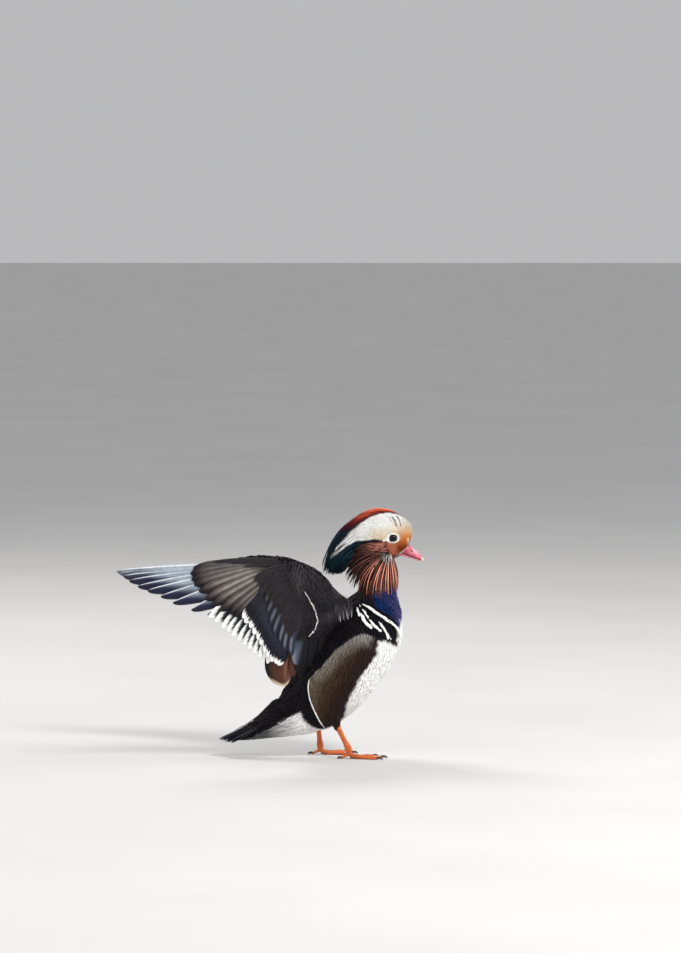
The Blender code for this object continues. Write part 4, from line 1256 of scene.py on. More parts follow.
@dataclass(frozen=True)
class Leg:
    """One leg and its webbed foot: hip, ankle at the feather line, joint above the toes, the way it points."""

    side: Side
    hip: tuple[float, float]
    ankle: tuple[float, float]
    joint: tuple[float, float]
    heading: float
    spread: float = 24.0
    thigh: tuple[float, ...] = (10, 8, 6.2, 4.2, 3.2)
    toes: tuple[tuple[float, float], ...] = ((-24, 37), (0, 43), (25, 39))
    hind_toe: tuple[float, float] = (172, 11)
    toe_radius: float = 2.6
    claw: float = 7.0
    voxel: float = 0.55

    def point(self, pair: tuple[float, float]) -> Array:
        """A point of the leg's own plane in the bird frame."""
        return np.array((pair[0], self.side.value * self.spread, pair[1]))

    def thigh_grid(self) -> Array:
        """The feathered upper leg as rings of points."""
        shares = np.linspace(0, 1, 12)
        low, top = self.point(self.ankle), self.point(self.hip)
        return tube(top + (low - top) * shares[:, None], through(np.array(self.thigh)[:, None], shares)[:, 0])

    def toe_line(self, angle: float, length: float, rises: Outline) -> Array:
        """The middle line of a toe that runs out from the joint.

        Args:
            angle: Outwards from straight ahead, in degrees.
            length: Without its claw.
            rises: Share of the length and height of the middle line there.

        Returns:
            Points of the bird frame.
        """
        turn = math.radians((self.heading + angle) * self.side.value)
        way = np.array((math.cos(turn), math.sin(turn), 0))
        start = self.point(self.joint) * np.array((1, 1, 0))
        share, rise = through(np.array(rises), np.linspace(0, 1, 22)).T
        return start + way * (share * length)[:, None] + np.array((0, 0, 1)) * rise[:, None]


LEGS = (
    Leg(Side.RIGHT, (-9, 58), (-2.6, 37.7), (12, 11), -6.0),
    Leg(Side.LEFT, (-26, 58), (-30.5, 33.5), (-26, 10.5), 8.0),
)


# ---------------------------------------------------------------- feathers


def strand_rings(path: Array, up: Array, half: Array, thick: Array | float, columns: int = 3,
                 crown: float = 0.3, solid: bool = False) -> Array:
    """Rings round strands or vanes.

    Args:
        path: Middle lines, shaped (strands, stations, 3).
        up: The way each face looks, in a shape that fits that.
        half: Half widths, shaped (strands, stations).
        thick: Thicknesses, in a shape that fits that.
        columns: Points across the upper face.
        crown: How high the middle stands over the edges, as a share of the half width.
        solid: True for a lower face that is crowned too, False for a flat one.

    Returns:
        Points shaped (strands, stations, ring, 3).
    """
    ahead = unit(np.gradient(path, axis=1))
    side = unit(np.cross(up, ahead))
    up = np.cross(ahead, side)
    across = np.linspace(1, -1, columns)
    arch = crown * half[..., None] * (1 - across**2)
    body = 0.5 * np.broadcast_to(thick, half.shape)[..., None] * (1 - 0.6 * across**2)
    high = arch + body
    if solid:
        high = np.concatenate([high, (arch - body)[..., -2:0:-1]], axis=-1)
        across = round_trip(across)
    wide = half[..., None] * across
    return path[:, :, None] + side[:, :, None] * wide[..., None] + up[:, :, None] * high[..., None]


@dataclass(frozen=True)
class Lie:
    """How the feathers lie near (x, z) on the body: the way their tips point, from +X, and their size."""

    x: float
    z: float
    way: float
    length: float
    width: float
    rise: float


@dataclass(frozen=True)
class Tuft:
    """How a short feather is cut: stations along it, its width there, its tones, whose darker root is painted
    shade, and its share of the rise.
    """

    shares: tuple[float, ...]
    shape: tuple[float, ...]
    tones: tuple[float, float, float]
    rise: float


@dataclass(frozen=True)
class BodyCoat:
    """The small feathers of head, neck, torso and rump, laid row over row along the body."""

    skin: Skin
    markings: Markings
    seed: int = 11
    spacing: float = 0.8
    blend: float = 12.0
    lies: tuple[Lie, ...] = (
        Lie(93, 290, 100, 2.2, 0.9, 0.4), Lie(92, 300, 112, 2.6, 1, 0.5), Lie(84, 314, 140, 4, 1.2, 0.7),
        Lie(60, 321, 178, 6, 1.4, 0.8), Lie(30, 315, 200, 8, 1.7, 0.8), Lie(6, 285, 235, 9, 1.9, 0.8),
        Lie(60, 305, 185, 4.6, 1.2, 0.6), Lie(30, 300, 200, 6.5, 1.4, 0.6),
        Lie(68, 287, 182, 2.6, 0.9, 0.5), Lie(84, 281, 172, 2.4, 0.85, 0.45),
        Lie(80, 264, 205, 2.8, 0.9, 0.5), Lie(60, 270, 212, 4.6, 1.1, 0.6), Lie(35, 272, 205, 7, 1.5, 0.7),
        Lie(70, 254, 245, 4.5, 1.2, 2.2), Lie(62, 235, 265, 7, 1.9, 0.9), Lie(25, 236, 260, 8, 2.2, 0.9),
        Lie(73, 222, 260, 6.5, 2, 3.4), Lie(76, 205, 262, 7, 2.1, 2.8), Lie(5, 200, 232, 12, 4.6, 1.3),
        Lie(40, 190, 250, 8, 2.3, 1), Lie(84, 165, 258, 9, 3.2, 0.9), Lie(40, 150, 245, 10, 2.4, 1),
        Lie(12, 130, 240, 10, 2.5, 1), Lie(-35, 140, 240, 14, 5.4, 1.3), Lie(-28, 95, 240, 10, 2.6, 1),
        Lie(50, 95, 236, 9, 3.4, 0.8), Lie(0, 60, 238, 9, 2.4, 1), Lie(-22, 36, 215, 9, 2.6, 1.1),
        Lie(-62, 85, 224, 13, 5, 1.3), Lie(-48, 60, 222, 10, 3, 1.2), Lie(-100, 58, 206, 13, 4.6, 1.1),
        Lie(-75, 28, 200, 12, 3.8, 0.9), Lie(-140, 24, 200, 9, 3, 0.8), Lie(-4, 38, 262, 5, 1.8, 0.9),
        Lie(-30, 36, 262, 5, 1.8, 0.9),
    )
    tries: int = 5
    swing: float = 7.0
    thickness: float = 0.14
    crown: float = 0.22
    root_lift: float = -0.25
    unevenness: float = 0.03
    bill_back: tuple[float, float] = (80.0, 266.5)
    bill_front: tuple[float, float] = (107.9, 256.3)
    bill_clear: tuple[float, float, float, float] = (-1.5, -3.4, 11, 6.2)
    eye_clear: tuple[float, float, float] = (6, 5, 12)
    under_ruff: tuple[float, float, float] = (228, 246, 58)
    head_above: float = 244.0
    rump_behind: float = -46.0

    def field(self, points: Array) -> tuple[Array, Array]:
        """The lie of the coat at points of the skin.

        Args:
            points: Places in the bird frame.

        Returns:
            Directions, not yet along the skin, and rows of (length, width, rise).
        """
        known = np.array([(lie.x, lie.z) for lie in self.lies], float)
        ways = np.radians([lie.way for lie in self.lies])
        sizes = np.array([(lie.length, lie.width, lie.rise) for lie in self.lies])
        near = ((points[:, None, (0, 2)] - known[None]) ** 2).sum(-1)
        weight = 1 / (near + self.blend) ** 2
        weight /= weight.sum(1, keepdims=True)
        way = np.stack((weight @ np.cos(ways), np.zeros(len(points)), weight @ np.sin(ways)), axis=-1)
        return unit(way), weight @ sizes

    def free(self, points: Array) -> Array:
        """Whether feathers grow at each point: not on arms or eyes, under the bill's root or in the ruff."""
        x, y, z = points.T
        back = np.array(self.bill_back)
        ahead = unit(np.array(self.bill_front) - back)
        away = points[:, (0, 2)] - back
        along, up = away @ ahead, away @ np.array((-ahead[1], ahead[0]))
        start, low, high, half = self.bill_clear
        bill = (along > start) & (up > low) & (up < high) & (np.abs(y) < half)
        eye_x, _, eye_z = self.skin.place.eye
        half_x, half_z, out = self.eye_clear
        eye = (np.hypot((x - eye_x) / half_x, (z - eye_z) / half_z) < 1) & (np.abs(y) > out)
        floor, roof, front = self.under_ruff
        inside_ruff = (z > floor) & (z < roof) & (x < front)
        return ~(bill | eye | inside_ruff) & (self.skin.on_wing(points) == 0)

    def roots(self) -> tuple[Array, Array]:
        """Where the feathers grow: evenly spread, closer where they are smaller.

        Returns:
            Places on the skin, and the faces that they are on.
        """
        draw = np.random.default_rng(self.seed)
        corners = self.skin.points[self.skin.quads]
        share = draw.random((len(corners), self.tries, 2))
        u, v = share[..., 0:1], share[..., 1:2]
        low = corners[:, None, 0] * (1 - u) + corners[:, None, 1] * u
        high = corners[:, None, 3] * (1 - u) + corners[:, None, 2] * u
        places = (low * (1 - v) + high * v).reshape(-1, 3)
        faces = np.repeat(np.arange(len(corners)), self.tries)
        keep = self.free(places)
        places, faces = places[keep], faces[keep]
        picked = thin_out(places, self.field(places)[1][:, 1] * self.spacing, draw)
        return places[picked], faces[picked]

    def build(self) -> list[Piece]:
        """Grows the coat in pieces: head, rump and the rest, on each side."""
        draw = np.random.default_rng(self.seed + 1)
        roots, faces = self.roots()
        head = roots[:, 2] > self.head_above
        rump = ~head & (roots[:, 0] < self.rump_behind)
        made = []
        for side in Side:
            here = roots[:, 1] * side.value >= 0
            for name, part in (("head", here & head), ("rump", here & rump), ("body", here & ~head & ~rump)):
                tuft, finish = (HEAD_TUFT, Finishes.HEAD) if name == "head" else (BODY_TUFT, Finishes.BODY)
                sheaf = self.grow(f"coat_{name}_{side.word}", roots[part], faces[part], tuft, draw)
                made.append(sheaf.to_object(self.skin.place, finish))
        return made

    def grow(self, name: str, roots: Array, faces: Array, tuft: Tuft, draw: Draw) -> Sheaf:
        """Makes one piece of the coat.

        Args:
            name: The piece's name.
            roots: Where its feathers grow.
            faces: The skin's faces there.
            tuft: How they are cut.
            draw: The random numbers.

        Returns:
            The feathers.
        """
        many = (len(roots), 1)
        way, sizes = self.field(roots)
        way = self.skin.along(way, faces)
        swing = np.radians(draw.normal(0, self.swing, len(roots)))[:, None]
        way = way * np.cos(swing) + np.cross(self.skin.face_normals[faces], way) * np.sin(swing)
        length, width, rise = (sizes * draw.uniform(0.86, 1.14, many)).T
        shares = np.array(tuft.shares)
        flat, normals = self.skin.combed(roots, way, length[:, None] * shares)
        lift = tuft.rise * rise[:, None] * (0.1 + 0.9 * shares) * draw.uniform(0.8, 1.15, many)
        lift[:, 0] = self.root_lift
        half = 0.5 * width[:, None] * np.array(tuft.shape)
        path = flat + normals * lift[..., None]
        rings = strand_rings(path, normals, half, self.thickness, crown=self.crown)
        tints = self.markings.paint(flat)
        # painted shade: each feather darker at its root, under the feathers over it
        tone = np.interp(shares, (0, 0.5, 1), tuft.tones)
        tints[..., :3] *= (draw.normal(1, self.unevenness, many) * tone)[..., None]
        sheaf = Sheaf(name)
        sheaf.add_strands(rings, tints[:, :, None], self.skin.fields(faces))
        return sheaf


HEAD_TUFT = Tuft((0, 0.5, 1), (0.55, 1, 0.12), (0.96, 1, 1.01), 0.6)
BODY_TUFT = Tuft((0, 0.3, 0.62, 0.86, 1), (0.5, 0.95, 1, 0.72, 0.12), (0.92, 1, 1.02), 1.0)


@dataclass(frozen=True)
class Trim:
    """A crisp line of narrow feathers laid end over end on the body, seen from the side."""

    line: Outline
    shade: Shade
    width: float
    length: float = 9.0
    step: float = 1.3
    lift: float = 1.6
    stray: float = 0.5
    start: float = 0.0


@dataclass(frozen=True)
class Trims:
    """The lines that stand out of the body's colours, on both sides."""

    skin: Skin
    lines: tuple[Trim, ...] = (
        *(Trim((
            (-9 + 2.4 * k, 207 - 0.012 * k * k), (-8 + 2.3 * k, 197.5), (-7.5 + 2.2 * k, 192 - 2.2 * (k % 3)),
        ), Shade.TUFT, 2.2, 9, 3, 3, 0.35, 200) for k in range(11)),
        *(Trim(((-6.8 + 2.3 * k, 198 - 2 * (k % 3)), (-6.1 + 2.2 * k, 186 - 2.2 * (k % 3))),
               (Shade.TUFT_PALE, Shade.VENT_SHADE)[k % 2], 0.9, 8, 4, 3.8, 0.15, 200) for k in range(1, 11)),
        Trim((
            (28.7, 202.2), (39.2, 196.3), (51.8, 187.3), (61.5, 180.6), (69, 174.6), (74.9, 166.4),
            (78.2, 156.6),
        ), Shade.WHITE, 3.1, stray=0.25),
        Trim(((38.4, 197), (45.1, 191), (52.5, 186.9)), Shade.WHITE, 1.6, 5, stray=0.2),
        Trim(((49.5, 180.2), (55.5, 171.6), (59.9, 164.1), (61.4, 157.4)), Shade.WHITE, 2.9, 6, stray=0.2),
        Trim(((60.7, 164.7), (64.8, 156.5)), Shade.WHITE, 1.5, 5, stray=0.2),
        Trim(((37.6, 183.2), (43.6, 175.7), (52.5, 167.5)), Shade.WHITE, 2.9, 6, stray=0.2),
        Trim(((28.7, 196), (36.5, 184.6)), Shade.WHITE, 2, 5, stray=0.2),
        Trim(((22, 197.7), (25.4, 187.4)), Shade.WHITE, 2.9, 5, stray=0.2),
        Trim(((26.4, 191), (31.6, 181.3), (40.6, 171.6)), Shade.WHITE, 3.8, 7, stray=0.2),
        Trim(((24.6, 201.6), (26.8, 198.3)), Shade.WHITE, 1.1, 4, stray=0.2),
        Trim(((-42, 105), (-42.4, 94.6), (-40.5, 80.5), (-33.4, 60.8), (-22.2, 39.6)),
             Shade.INK, 3.6, lift=1.4),
        Trim(((-38.5, 106), (-40.6, 94.6), (-38.7, 80.5), (-31.6, 60.8), (-20.4, 40.6)),
             Shade.WHITE, 1.3, lift=1.9, stray=0.15),
    )
    shape: tuple[float, ...] = (0.3, 0.7, 1.0, 1.0, 0.8, 0.45, 0.08)
    thickness: float = 0.16
    seed: int = 17

    def build(self) -> list[Piece]:
        """Makes all the lines as one piece."""
        draw = np.random.default_rng(self.seed)
        sheaf = Sheaf("coat_trims")
        for side, trim in product(Side, self.lines):
            self.add(sheaf, trim, side, draw)
        return [sheaf.to_object(self.skin.place, Finishes.BODY)]

    def add(self, sheaf: Sheaf, trim: Trim, side: Side, draw: Draw) -> None:
        """Lays one line.

        Args:
            sheaf: What gathers the feathers.
            trim: The line.
            side: The side of the body.
            draw: The random numbers.
        """
        reach = np.linalg.norm(np.diff(trim.line, axis=0), axis=1).sum()
        count = max(3, int(reach / trim.step))
        starts = np.repeat(np.linspace(0, 1 - 0.5 * trim.length / reach, count), 2)
        many = 2 * count
        shares = np.linspace(0, 1, len(self.shape))
        span = trim.length / reach * shares * draw.uniform(0.8, 1.1, (many, 1))
        line = np.clip(starts[:, None] + span, 0, 1)
        spots = through(trim.line, line.ravel()).reshape(*line.shape, 2)
        ahead = unit(np.gradient(spots, axis=1) + 1e-6)
        swell = np.clip(np.minimum(0.3 + 5 * starts, 0.2 + 3.5 * (1 - starts)), 0.15, 1)
        aside = draw.uniform(-0.5, 0.5, many) * trim.width * 0.55 * swell + draw.normal(0, trim.stray, many)
        spots = spots + np.stack((-ahead[..., 1], ahead[..., 0]), axis=-1) * aside[:, None, None]
        flat, normals = self.skin.laid(spots, side, trim.start)
        lift = trim.lift * (0.55 + 0.45 * shares) + draw.uniform(0, 0.3, (many, 1))
        half = 0.36 * trim.width * swell[:, None] * np.array(self.shape)
        rings = strand_rings(flat + normals * lift[..., None], normals, half, self.thickness, 5, 0.2)
        tints = trim.shade.linear * draw.uniform(0.86, 1.04, (many, 1, 1, 1))
        sheaf.add_strands(rings, tints, self.skin.fields(self.skin.nearest(flat[:, 0])[2]))


# ---------------------------------------------------------------- wings


class Dress(Enum):
    """How a wing or tail feather is coloured: its painter's name, or its shade and its rim's shade and strength."""

    PRIMARY = "primary"
    SECONDARY = "secondary"
    PRIMARY_COVERT = "primary_covert"
    SECONDARY_COVERT = "secondary_covert"
    MEDIAN_COVERT = "median"
    SAIL = "sail"
    SLATE = "slate"
    LESSER_COVERT = (Shade.COVERT, Shade.COVERT_WARM, 0.25)
    UNDER_COVERT = (Shade.UNDERWING, Shade.WHITE, 0.25)
    ALULA = (Shade.COVERT, Shade.COVERT_WARM, 0.5)
    BROWN = (Shade.SAIL, Shade.COVERT, 0.6)
    DARK = (Shade.COVERT_DARK, Shade.COVERT, 0.5)
    RECTRIX = (Shade.TAIL, Shade.TAIL_EDGE, 0.3)
    TAIL_COVERT = (Shade.BACK, Shade.SCAPULAR, 0.4)

    def colours(self, t: Array, s: Array, share: float, draw: Draw) -> Array:
        """Linear colours over one feather of this kind.

        Args:
            t: Along it, from 0 at the root to 1 at the tip.
            s: Across it, from -1 at the inner edge to 1 at the outer one.
            share: Where the feather stands in its row, from 0 at the innermost or first to 1.
            draw: The random numbers.

        Returns:
            A linear colour for each pair of t and s.
        """
        t, s = np.broadcast_arrays(t[:, None], s)
        if isinstance(self.value, str):
            colour = getattr(self, f"_{self.value}")(t, s, share)
        else:
            base, rim, strength = self.value
            colour = mix(base, rim, np.maximum(ramp(np.abs(s), 0.66, 0.95), ramp(t, 0.9, 1)) * strength)
        # painted shade: every wing and tail feather darker towards its root, under the feathers over it
        root = 0.62 + 0.38 * ramp(t, 0, 0.35)
        return np.clip(colour * root[..., None] * draw.normal(1, 0.07), 0, 1)

    def _primary(self, t: Array, s: Array, share: float) -> Array:
        """Steel blue, violet before a dark tip, with a silver white outer edge."""
        colour = mix(Shade.STEEL, Shade.VIOLET, ramp(t - 0.2 * s - 0.09 * (1 - share), 0.6, 0.84))
        colour = mix(colour, Shade.INK, 0.35 * ramp(s, 0.1, -0.7))
        colour = mix(colour, Shade.QUILL_TIP, ramp(t + 0.04 * s, 0.93, 1))
        colour = mix(colour, Shade.SILVER, 0.7 * ramp(s, -0.86, -1) * ramp(t, 0.7, 0.9))
        colour = mix(colour, Shade.SILVER, 0.35 * ramp(share, 0.72, 1))
        return mix(colour, Shade.SILVER_EDGE, ramp(s, 0.42, 0.72) * ramp(t, 1, 0.96))

    def _secondary(self, t: Array, s: Array, share: float) -> Array:
        """Green-black with a long white tooth along the outer web to a white tip."""
        tooth = ramp(s - 0.9 + 1.25 * (t - 0.72) / 0.2, 0, 0.18) * ramp(t, 0.68, 0.75)
        colour = mix(Shade.SPECULUM, Shade.INK, ramp(s, 0.1, -0.6))
        return mix(colour, Shade.WHITE, np.maximum(tooth, ramp(t, 0.915, 0.94)))

    def _primary_covert(self, t: Array, s: Array, share: float) -> Array:
        """Dark brown with dark tips, and painted sheen: warmer in the middle of the row, with warm pale streaks
        beside the shaft.
        """
        # painted sheen: the middle of the row warmer, pale streaks beside the shaft
        middle = bell(share, 0.42, 0.3)
        colour = mix(Shade.COVERT, Shade.COVERT_WARM, 0.3 + 0.5 * middle)
        lights = ((Shade.FLANK_PALE, 0.2, 0.2, (0.9, 0.66)), (Shade.SILVER, 0.12, 0.08, (0.85, 0.6)))
        for shade, where, wide, fade in lights:
            light = bell(s, where, wide) * ramp(t, 0.1, 0.3) * ramp(t, *fade)
            colour = mix(colour, shade, 0.6 * light * (0.3 + 0.7 * middle))
        colour = mix(colour, Shade.COVERT_DARK, 0.85 * ramp(s, 0, -0.6))
        return mix(colour, Shade.INK, 0.85 * ramp(t, 0.78, 0.98))

    def _secondary_covert(self, t: Array, s: Array, share: float) -> Array:
        """Cool dark grey-brown with a ragged white tip."""
        colour = mix(Shade.COVERT, Shade.COVERT_COOL, 0.2 + 0.6 * share)
        colour = mix(colour, Shade.INK, 0.7 * ramp(t, 0.6, 0.8))
        torn = 0.02 * np.sin(9 * s + 20 * share)
        return mix(colour, Shade.WHITE, ramp(t + 0.03 * s + torn, 0.9, 0.925))

    def _median(self, t: Array, s: Array, share: float) -> Array:
        """Cool dark grey with dark edges, and a painted highlight: a pale streak along the outer web near the tip.
        """
        colour = mix(Shade.COVERT, Shade.COVERT_COOL, 0.1 + 0.7 * share)
        colour = mix(colour, Shade.INK, 0.6 * np.maximum(ramp(s, -0.2, -0.9), ramp(s, 0.7, 1)))
        # painted highlight: the pale streak near the tip
        light = bell(s, 0.35, 0.16) * ramp(t, 0.45, 0.7) * ramp(t, 0.97, 0.86)
        return mix(colour, Shade.SILVER, 0.6 * light * (0.25 + 0.75 * share))

    def _slate(self, t: Array, s: Array, share: float) -> Array:
        """Blue slate, nearly black inside, with a silvery painted highlight along its outer web."""
        colour = mix(Shade.SLATE, Shade.COVERT_DARK, 0.8 * ramp(s, 0.15, -0.6))
        colour = mix(colour, Shade.COVERT_DARK, ramp(t, 0.5, 0.28))
        # painted highlight: silvery along the outer web
        return mix(colour, Shade.SILVER, 0.45 * ramp(s, 0, 0.7) * ramp(t, 0.5, 0.8))

    def _sail(self, t: Array, s: Array, share: float) -> Array:
        """Chestnut with a pinkish inner half, a black outer edge and a cream margin at the tip."""
        colour = mix(Shade.SAIL, Shade.SAIL_PALE, 0.8 * ramp(s, 0, -0.35))
        colour = mix(colour, Shade.SAIL, 0.5 + 0.5 * np.sin(16 * s + 5 * t))
        colour = mix(colour, Shade.INK, ramp(s, 0.55, 0.8) * ramp(t, 0.92, 0.84))
        return mix(colour, Shade.CREAM, ramp(t + 0.1 * np.abs(s) ** 2, 0.95, 0.99))


@dataclass(frozen=True)
class Row:
    """A row of like feathers on a wing: roots and tips (a, d) of a few, first to last, and their size."""

    dress: Dress
    count: int
    roots: tuple
    tips: tuple
    width: float
    height: float
    bow: float
    blunt: float = 0.5
    listed: bool = False
    jitter: float = 1.0
    outer_share: float = 0.36

    def ends(self, draw: Draw) -> tuple[Array, Array, Array]:
        """Roots, tips and shares of the row's feathers."""
        shares = np.linspace(0, 1, self.count) if self.count > 1 else np.zeros(1)
        if self.listed:
            return np.array(self.roots, float), np.array(self.tips, float), shares
        roots, tips = through(self.roots, shares), through(self.tips, shares)
        spread = draw.uniform(-self.jitter, self.jitter, tips.shape) * np.array((1, 0.7))
        return roots, tips + spread, shares


def vane_shape(t: Array, blunt: float) -> Array:
    """Width of a vane, from 0 to 1, at t along it: narrow at the quill, full in the middle, closed at its tip."""
    quill = np.minimum(1, 0.34 + 2.2 * t)
    close = np.clip(1 - (np.maximum(t - blunt, 0) / (1 - blunt)) ** 2, 0, 1)
    return np.maximum(0.05, quill * np.sqrt(close))


@dataclass(frozen=True)
class Wing:
    """One wing's feathers, from the flight feathers up to the small ones on the arm."""

    side: Side
    plan: WingPlan
    skin: Skin
    stations: int = 26
    columns: int = 11
    shingle: float = 0.12
    thickness: float = 0.45
    curl: float = 0.5
    gap: float = 2.9
    flow: Outline = ((-95, 112), (-60, 98), (-30, 84), (0, 66), (20, 48), (40, 26), (70, 6))
    small_shares: tuple[float, ...] = (0, 0.25, 0.5, 0.75, 0.92, 1)
    small_shape: tuple[float, ...] = (0.45, 0.85, 1, 0.86, 0.5, 0.1)
    leading_edge: Outline = ((-90, -37, 0, 64), (60, 12, -2, -2))
    seed: int = 31
    white_arc: Outline = (
        (-21.7, 43), (-26.7, 50.7), (-32.9, 61.3), (-38.2, 71.1), (-40.8, 82.6), (-38.4, 93.8), (-34.8, 99.3),
        (-31.2, 103.8),
    )
    white_count: int = 20
    white_width: float = 0.95
    white_shape: tuple[float, ...] = (0.3, 0.7, 0.95, 1, 1, 0.9, 0.6, 0.1)
    flights: tuple[Row, ...] = (
        Row(Dress.PRIMARY, 10, ((10, 16), (30, 12), (50, 9)),
            ((102, 73), (144, 58), (174, 43), (198, 31), (213, 21), (221, 14.5)), 18, 0, 1.5, 0.55,
            outer_share=0.24),
        Row(Dress.SECONDARY, 12, ((5, 18), (-4, 46), (-13, 76)),
            ((101, 75), (85, 88.5), (72, 98.5), (58, 111), (44, 121.5), (31, 132.5), (21, 141)),
            16, 0, 4, 0.8, jitter=0.6),
        Row(Dress.SAIL, 1, ((-10, 84),), ((-4.8, 174.5),), 40, -2.6, 5.5, 0.62, True, outer_share=0.64),
        Row(Dress.SLATE, 1, ((-24, 92),), ((-18, 143),), 16.5, 3.4, 1, 0.7, True, outer_share=0.5),
        Row(Dress.BROWN, 1, ((-18, 88),), ((-14.5, 161),), 17, 0.4, 1, 0.6, True),
        Row(Dress.DARK, 4, ((-24, 84), (-30, 86), (-42, 82), (-54, 78)),
            ((-19, 152), (-25, 163), (-38, 148), (-52, 132)), 21, 2, -2, 0.62, True),
    )
    coverts: tuple[Row, ...] = (
        Row(Dress.PRIMARY_COVERT, 10, ((6, 18), (22, 11), (42, 5)),
            ((66, 75), (80.5, 69), (98, 58.5), (111, 46), (121.5, 30.5), (126, 21), (123, 11)),
            17, 2.6, 2, 0.68),
        Row(Dress.SECONDARY_COVERT, 11, ((6, 22), (-3, 46), (-12, 74)),
            ((58, 77.5), (49.5, 88), (40.5, 101.5), (31.5, 114.5), (22, 129), (14, 139), (6, 143.5)),
            16, 2.8, 3, 0.78),
        Row(Dress.MEDIAN_COVERT, 8, ((6, 18), (-5, 42), (-16, 66)),
            ((36, 46), (27, 60), (22.5, 76), (17.5, 93), (9, 109), (0, 121), (-10, 129)),
            19, 4.6, 2, 0.72),
        Row(Dress.LESSER_COVERT, 11, ((4, 8), (-8, 34), (-20, 60)),
            ((44, 26), (31, 44), (16, 64), (4, 86), (-6, 106)), 14, 6, 1.5, 0.6),
        Row(Dress.ALULA, 3, ((14, 2), (10, 5), (8, 8)), ((101, 3), (78, 5), (58, 10)),
            9.5, 3.6, 1, 0.5, True),
        Row(Dress.UNDER_COVERT, 10, ((44, 8), (8, 16), (-12, 70)), ((114, 22), (66, 70), (6, 124)),
            16, -2.6, 2, 0.65),
        Row(Dress.UNDER_COVERT, 10, ((40, 6), (4, 14), (-16, 62)), ((84, 18), (40, 56), (-6, 100)),
            14, -4.4, 2, 0.6),
    )

    def vane_rings(self, root: Array, tip: Array, row: Row) -> tuple[Array, Array, Array]:
        """One feather laid on the wing.

        Args:
            root: Its root (a, d).
            tip: Its tip (a, d).
            row: The row that it stands in.

        Returns:
            Points shaped (stations, ring, 3), stations from 0 to 1, and the ring's places across from -1 to 1.
        """
        t = towards_tip(self.stations)
        along = tip - root
        outward = np.array((along[1], -along[0])) / np.linalg.norm(along)
        middle = root + along * t[:, None] + outward * (row.bow * 4 * t * (1 - t))[:, None]
        full = row.width * vane_shape(t, row.blunt)
        edge = np.linspace(-1, 1, self.columns)
        s = round_trip(np.sign(edge) * np.abs(edge) ** 0.8)
        under = np.where(np.arange(len(s)) < self.columns, 1, -1)
        offset = full[:, None] * np.where(s > 0, row.outer_share, 1 - row.outer_share) * s
        thick = 0.5 * self.thickness * (1.5 - 0.7 * t)[:, None] * (1 - 0.75 * s**2) * under
        quill = 0.35 * (1 - 0.7 * t)[:, None] * bell(s, 0, 0.1) * (under > 0)
        height = row.height * (1 - 0.2 * t)[:, None] + self.shingle * offset + thick + quill
        height = height - self.curl * (full / row.width)[:, None] * s**2
        spot = middle[:, None] + outward * offset[..., None]
        return self.plan.point(spot[..., 0], spot[..., 1], height), t, s

    def sheaf(self, name: str, rows: tuple[Row, ...], draw: Draw) -> Sheaf:
        """Gathers rows of feathers, each vane with its own field on the bake map.

        Args:
            name: The piece's name.
            rows: The rows of feathers.
            draw: The random numbers.

        Returns:
            The gathered vanes.
        """
        sheaf = Sheaf(f"{name}_{self.side.word}")
        corners, size = share_map(sum(row.count for row in rows))
        corners = iter(corners)
        for row in rows:
            for root, tip, share in zip(*row.ends(draw)):
                rings, t, s = self.vane_rings(root, tip, row)
                tint = row.dress.colours(t, s, float(share), draw)
                rings = self.plan.place(rings, self.side)
                sheaf.add_strands(rings[None], tint, (next(corners), size), self.side is Side.LEFT)
        return sheaf

    def small_feathers(self, draw: Draw) -> Sheaf:
        """The small feathers on the arm, above and below, laid along the wing's own flow."""
        skin, plan, side = self.skin, self.plan, self.side
        centres = skin.points[skin.quads].mean(1)
        here = np.flatnonzero(skin.on_wing(centres) == side.value)
        faces = here[thin_out(centres[here], np.full(len(here), self.gap), draw)]
        roots = centres[faces]
        a, d = plan.flat(plan.unplace(roots, side))
        turn = np.radians(np.interp(a, *np.array(self.flow).T))
        start, step = plan.point(a, d, 0 * a), plan.point(a + np.cos(turn), d + np.sin(turn), 0 * a)
        way = skin.along(unit(plan.place(step, side) - plan.place(start, side)), faces)
        near_edge = np.clip((d - np.interp(a, *self.leading_edge)) / 30, 0, 1)
        length = (6.5 + 7 * near_edge) * draw.uniform(0.88, 1.12, len(roots))
        width = (3.4 + 3 * near_edge) * draw.uniform(0.9, 1.1, len(roots))
        shares = np.array(self.small_shares)
        flat, normals = skin.combed(roots, way, length[:, None] * shares)
        rise = (1 + 0.7 * near_edge)[:, None] * (0.05 + 0.95 * shares)
        half = 0.5 * width[:, None] * np.array(self.small_shape)
        rings = strand_rings(flat + normals * rise[..., None], normals, half, 0.2, 5, 0.16)
        tone = noise(np.stack((a, d), axis=-1), 16, 9)
        colour = blend_shades((Shade.COVERT_DARK, Shade.COVERT, Shade.COVERT_WARM), (-1, 0.4, 3.4), tone)
        inner = ramp(a, -20, -60)
        # painted sheen: patchy grey on the inner arm, stronger near the shoulder, for the light it catches
        painted_sheen = inner * ramp(noise(roots, 15, 19), 0, 0.7) * (0.12 + 0.4 * ramp(roots[:, 2], 186, 202))
        colour = mix(mix(colour, Shade.BACK, inner), Shade.TUFT, painted_sheen)
        upper = skin.face_normals[faces] @ plan.upward(side) > 0
        colour = np.where(upper[:, None], colour, Shade.UNDERWING.linear)
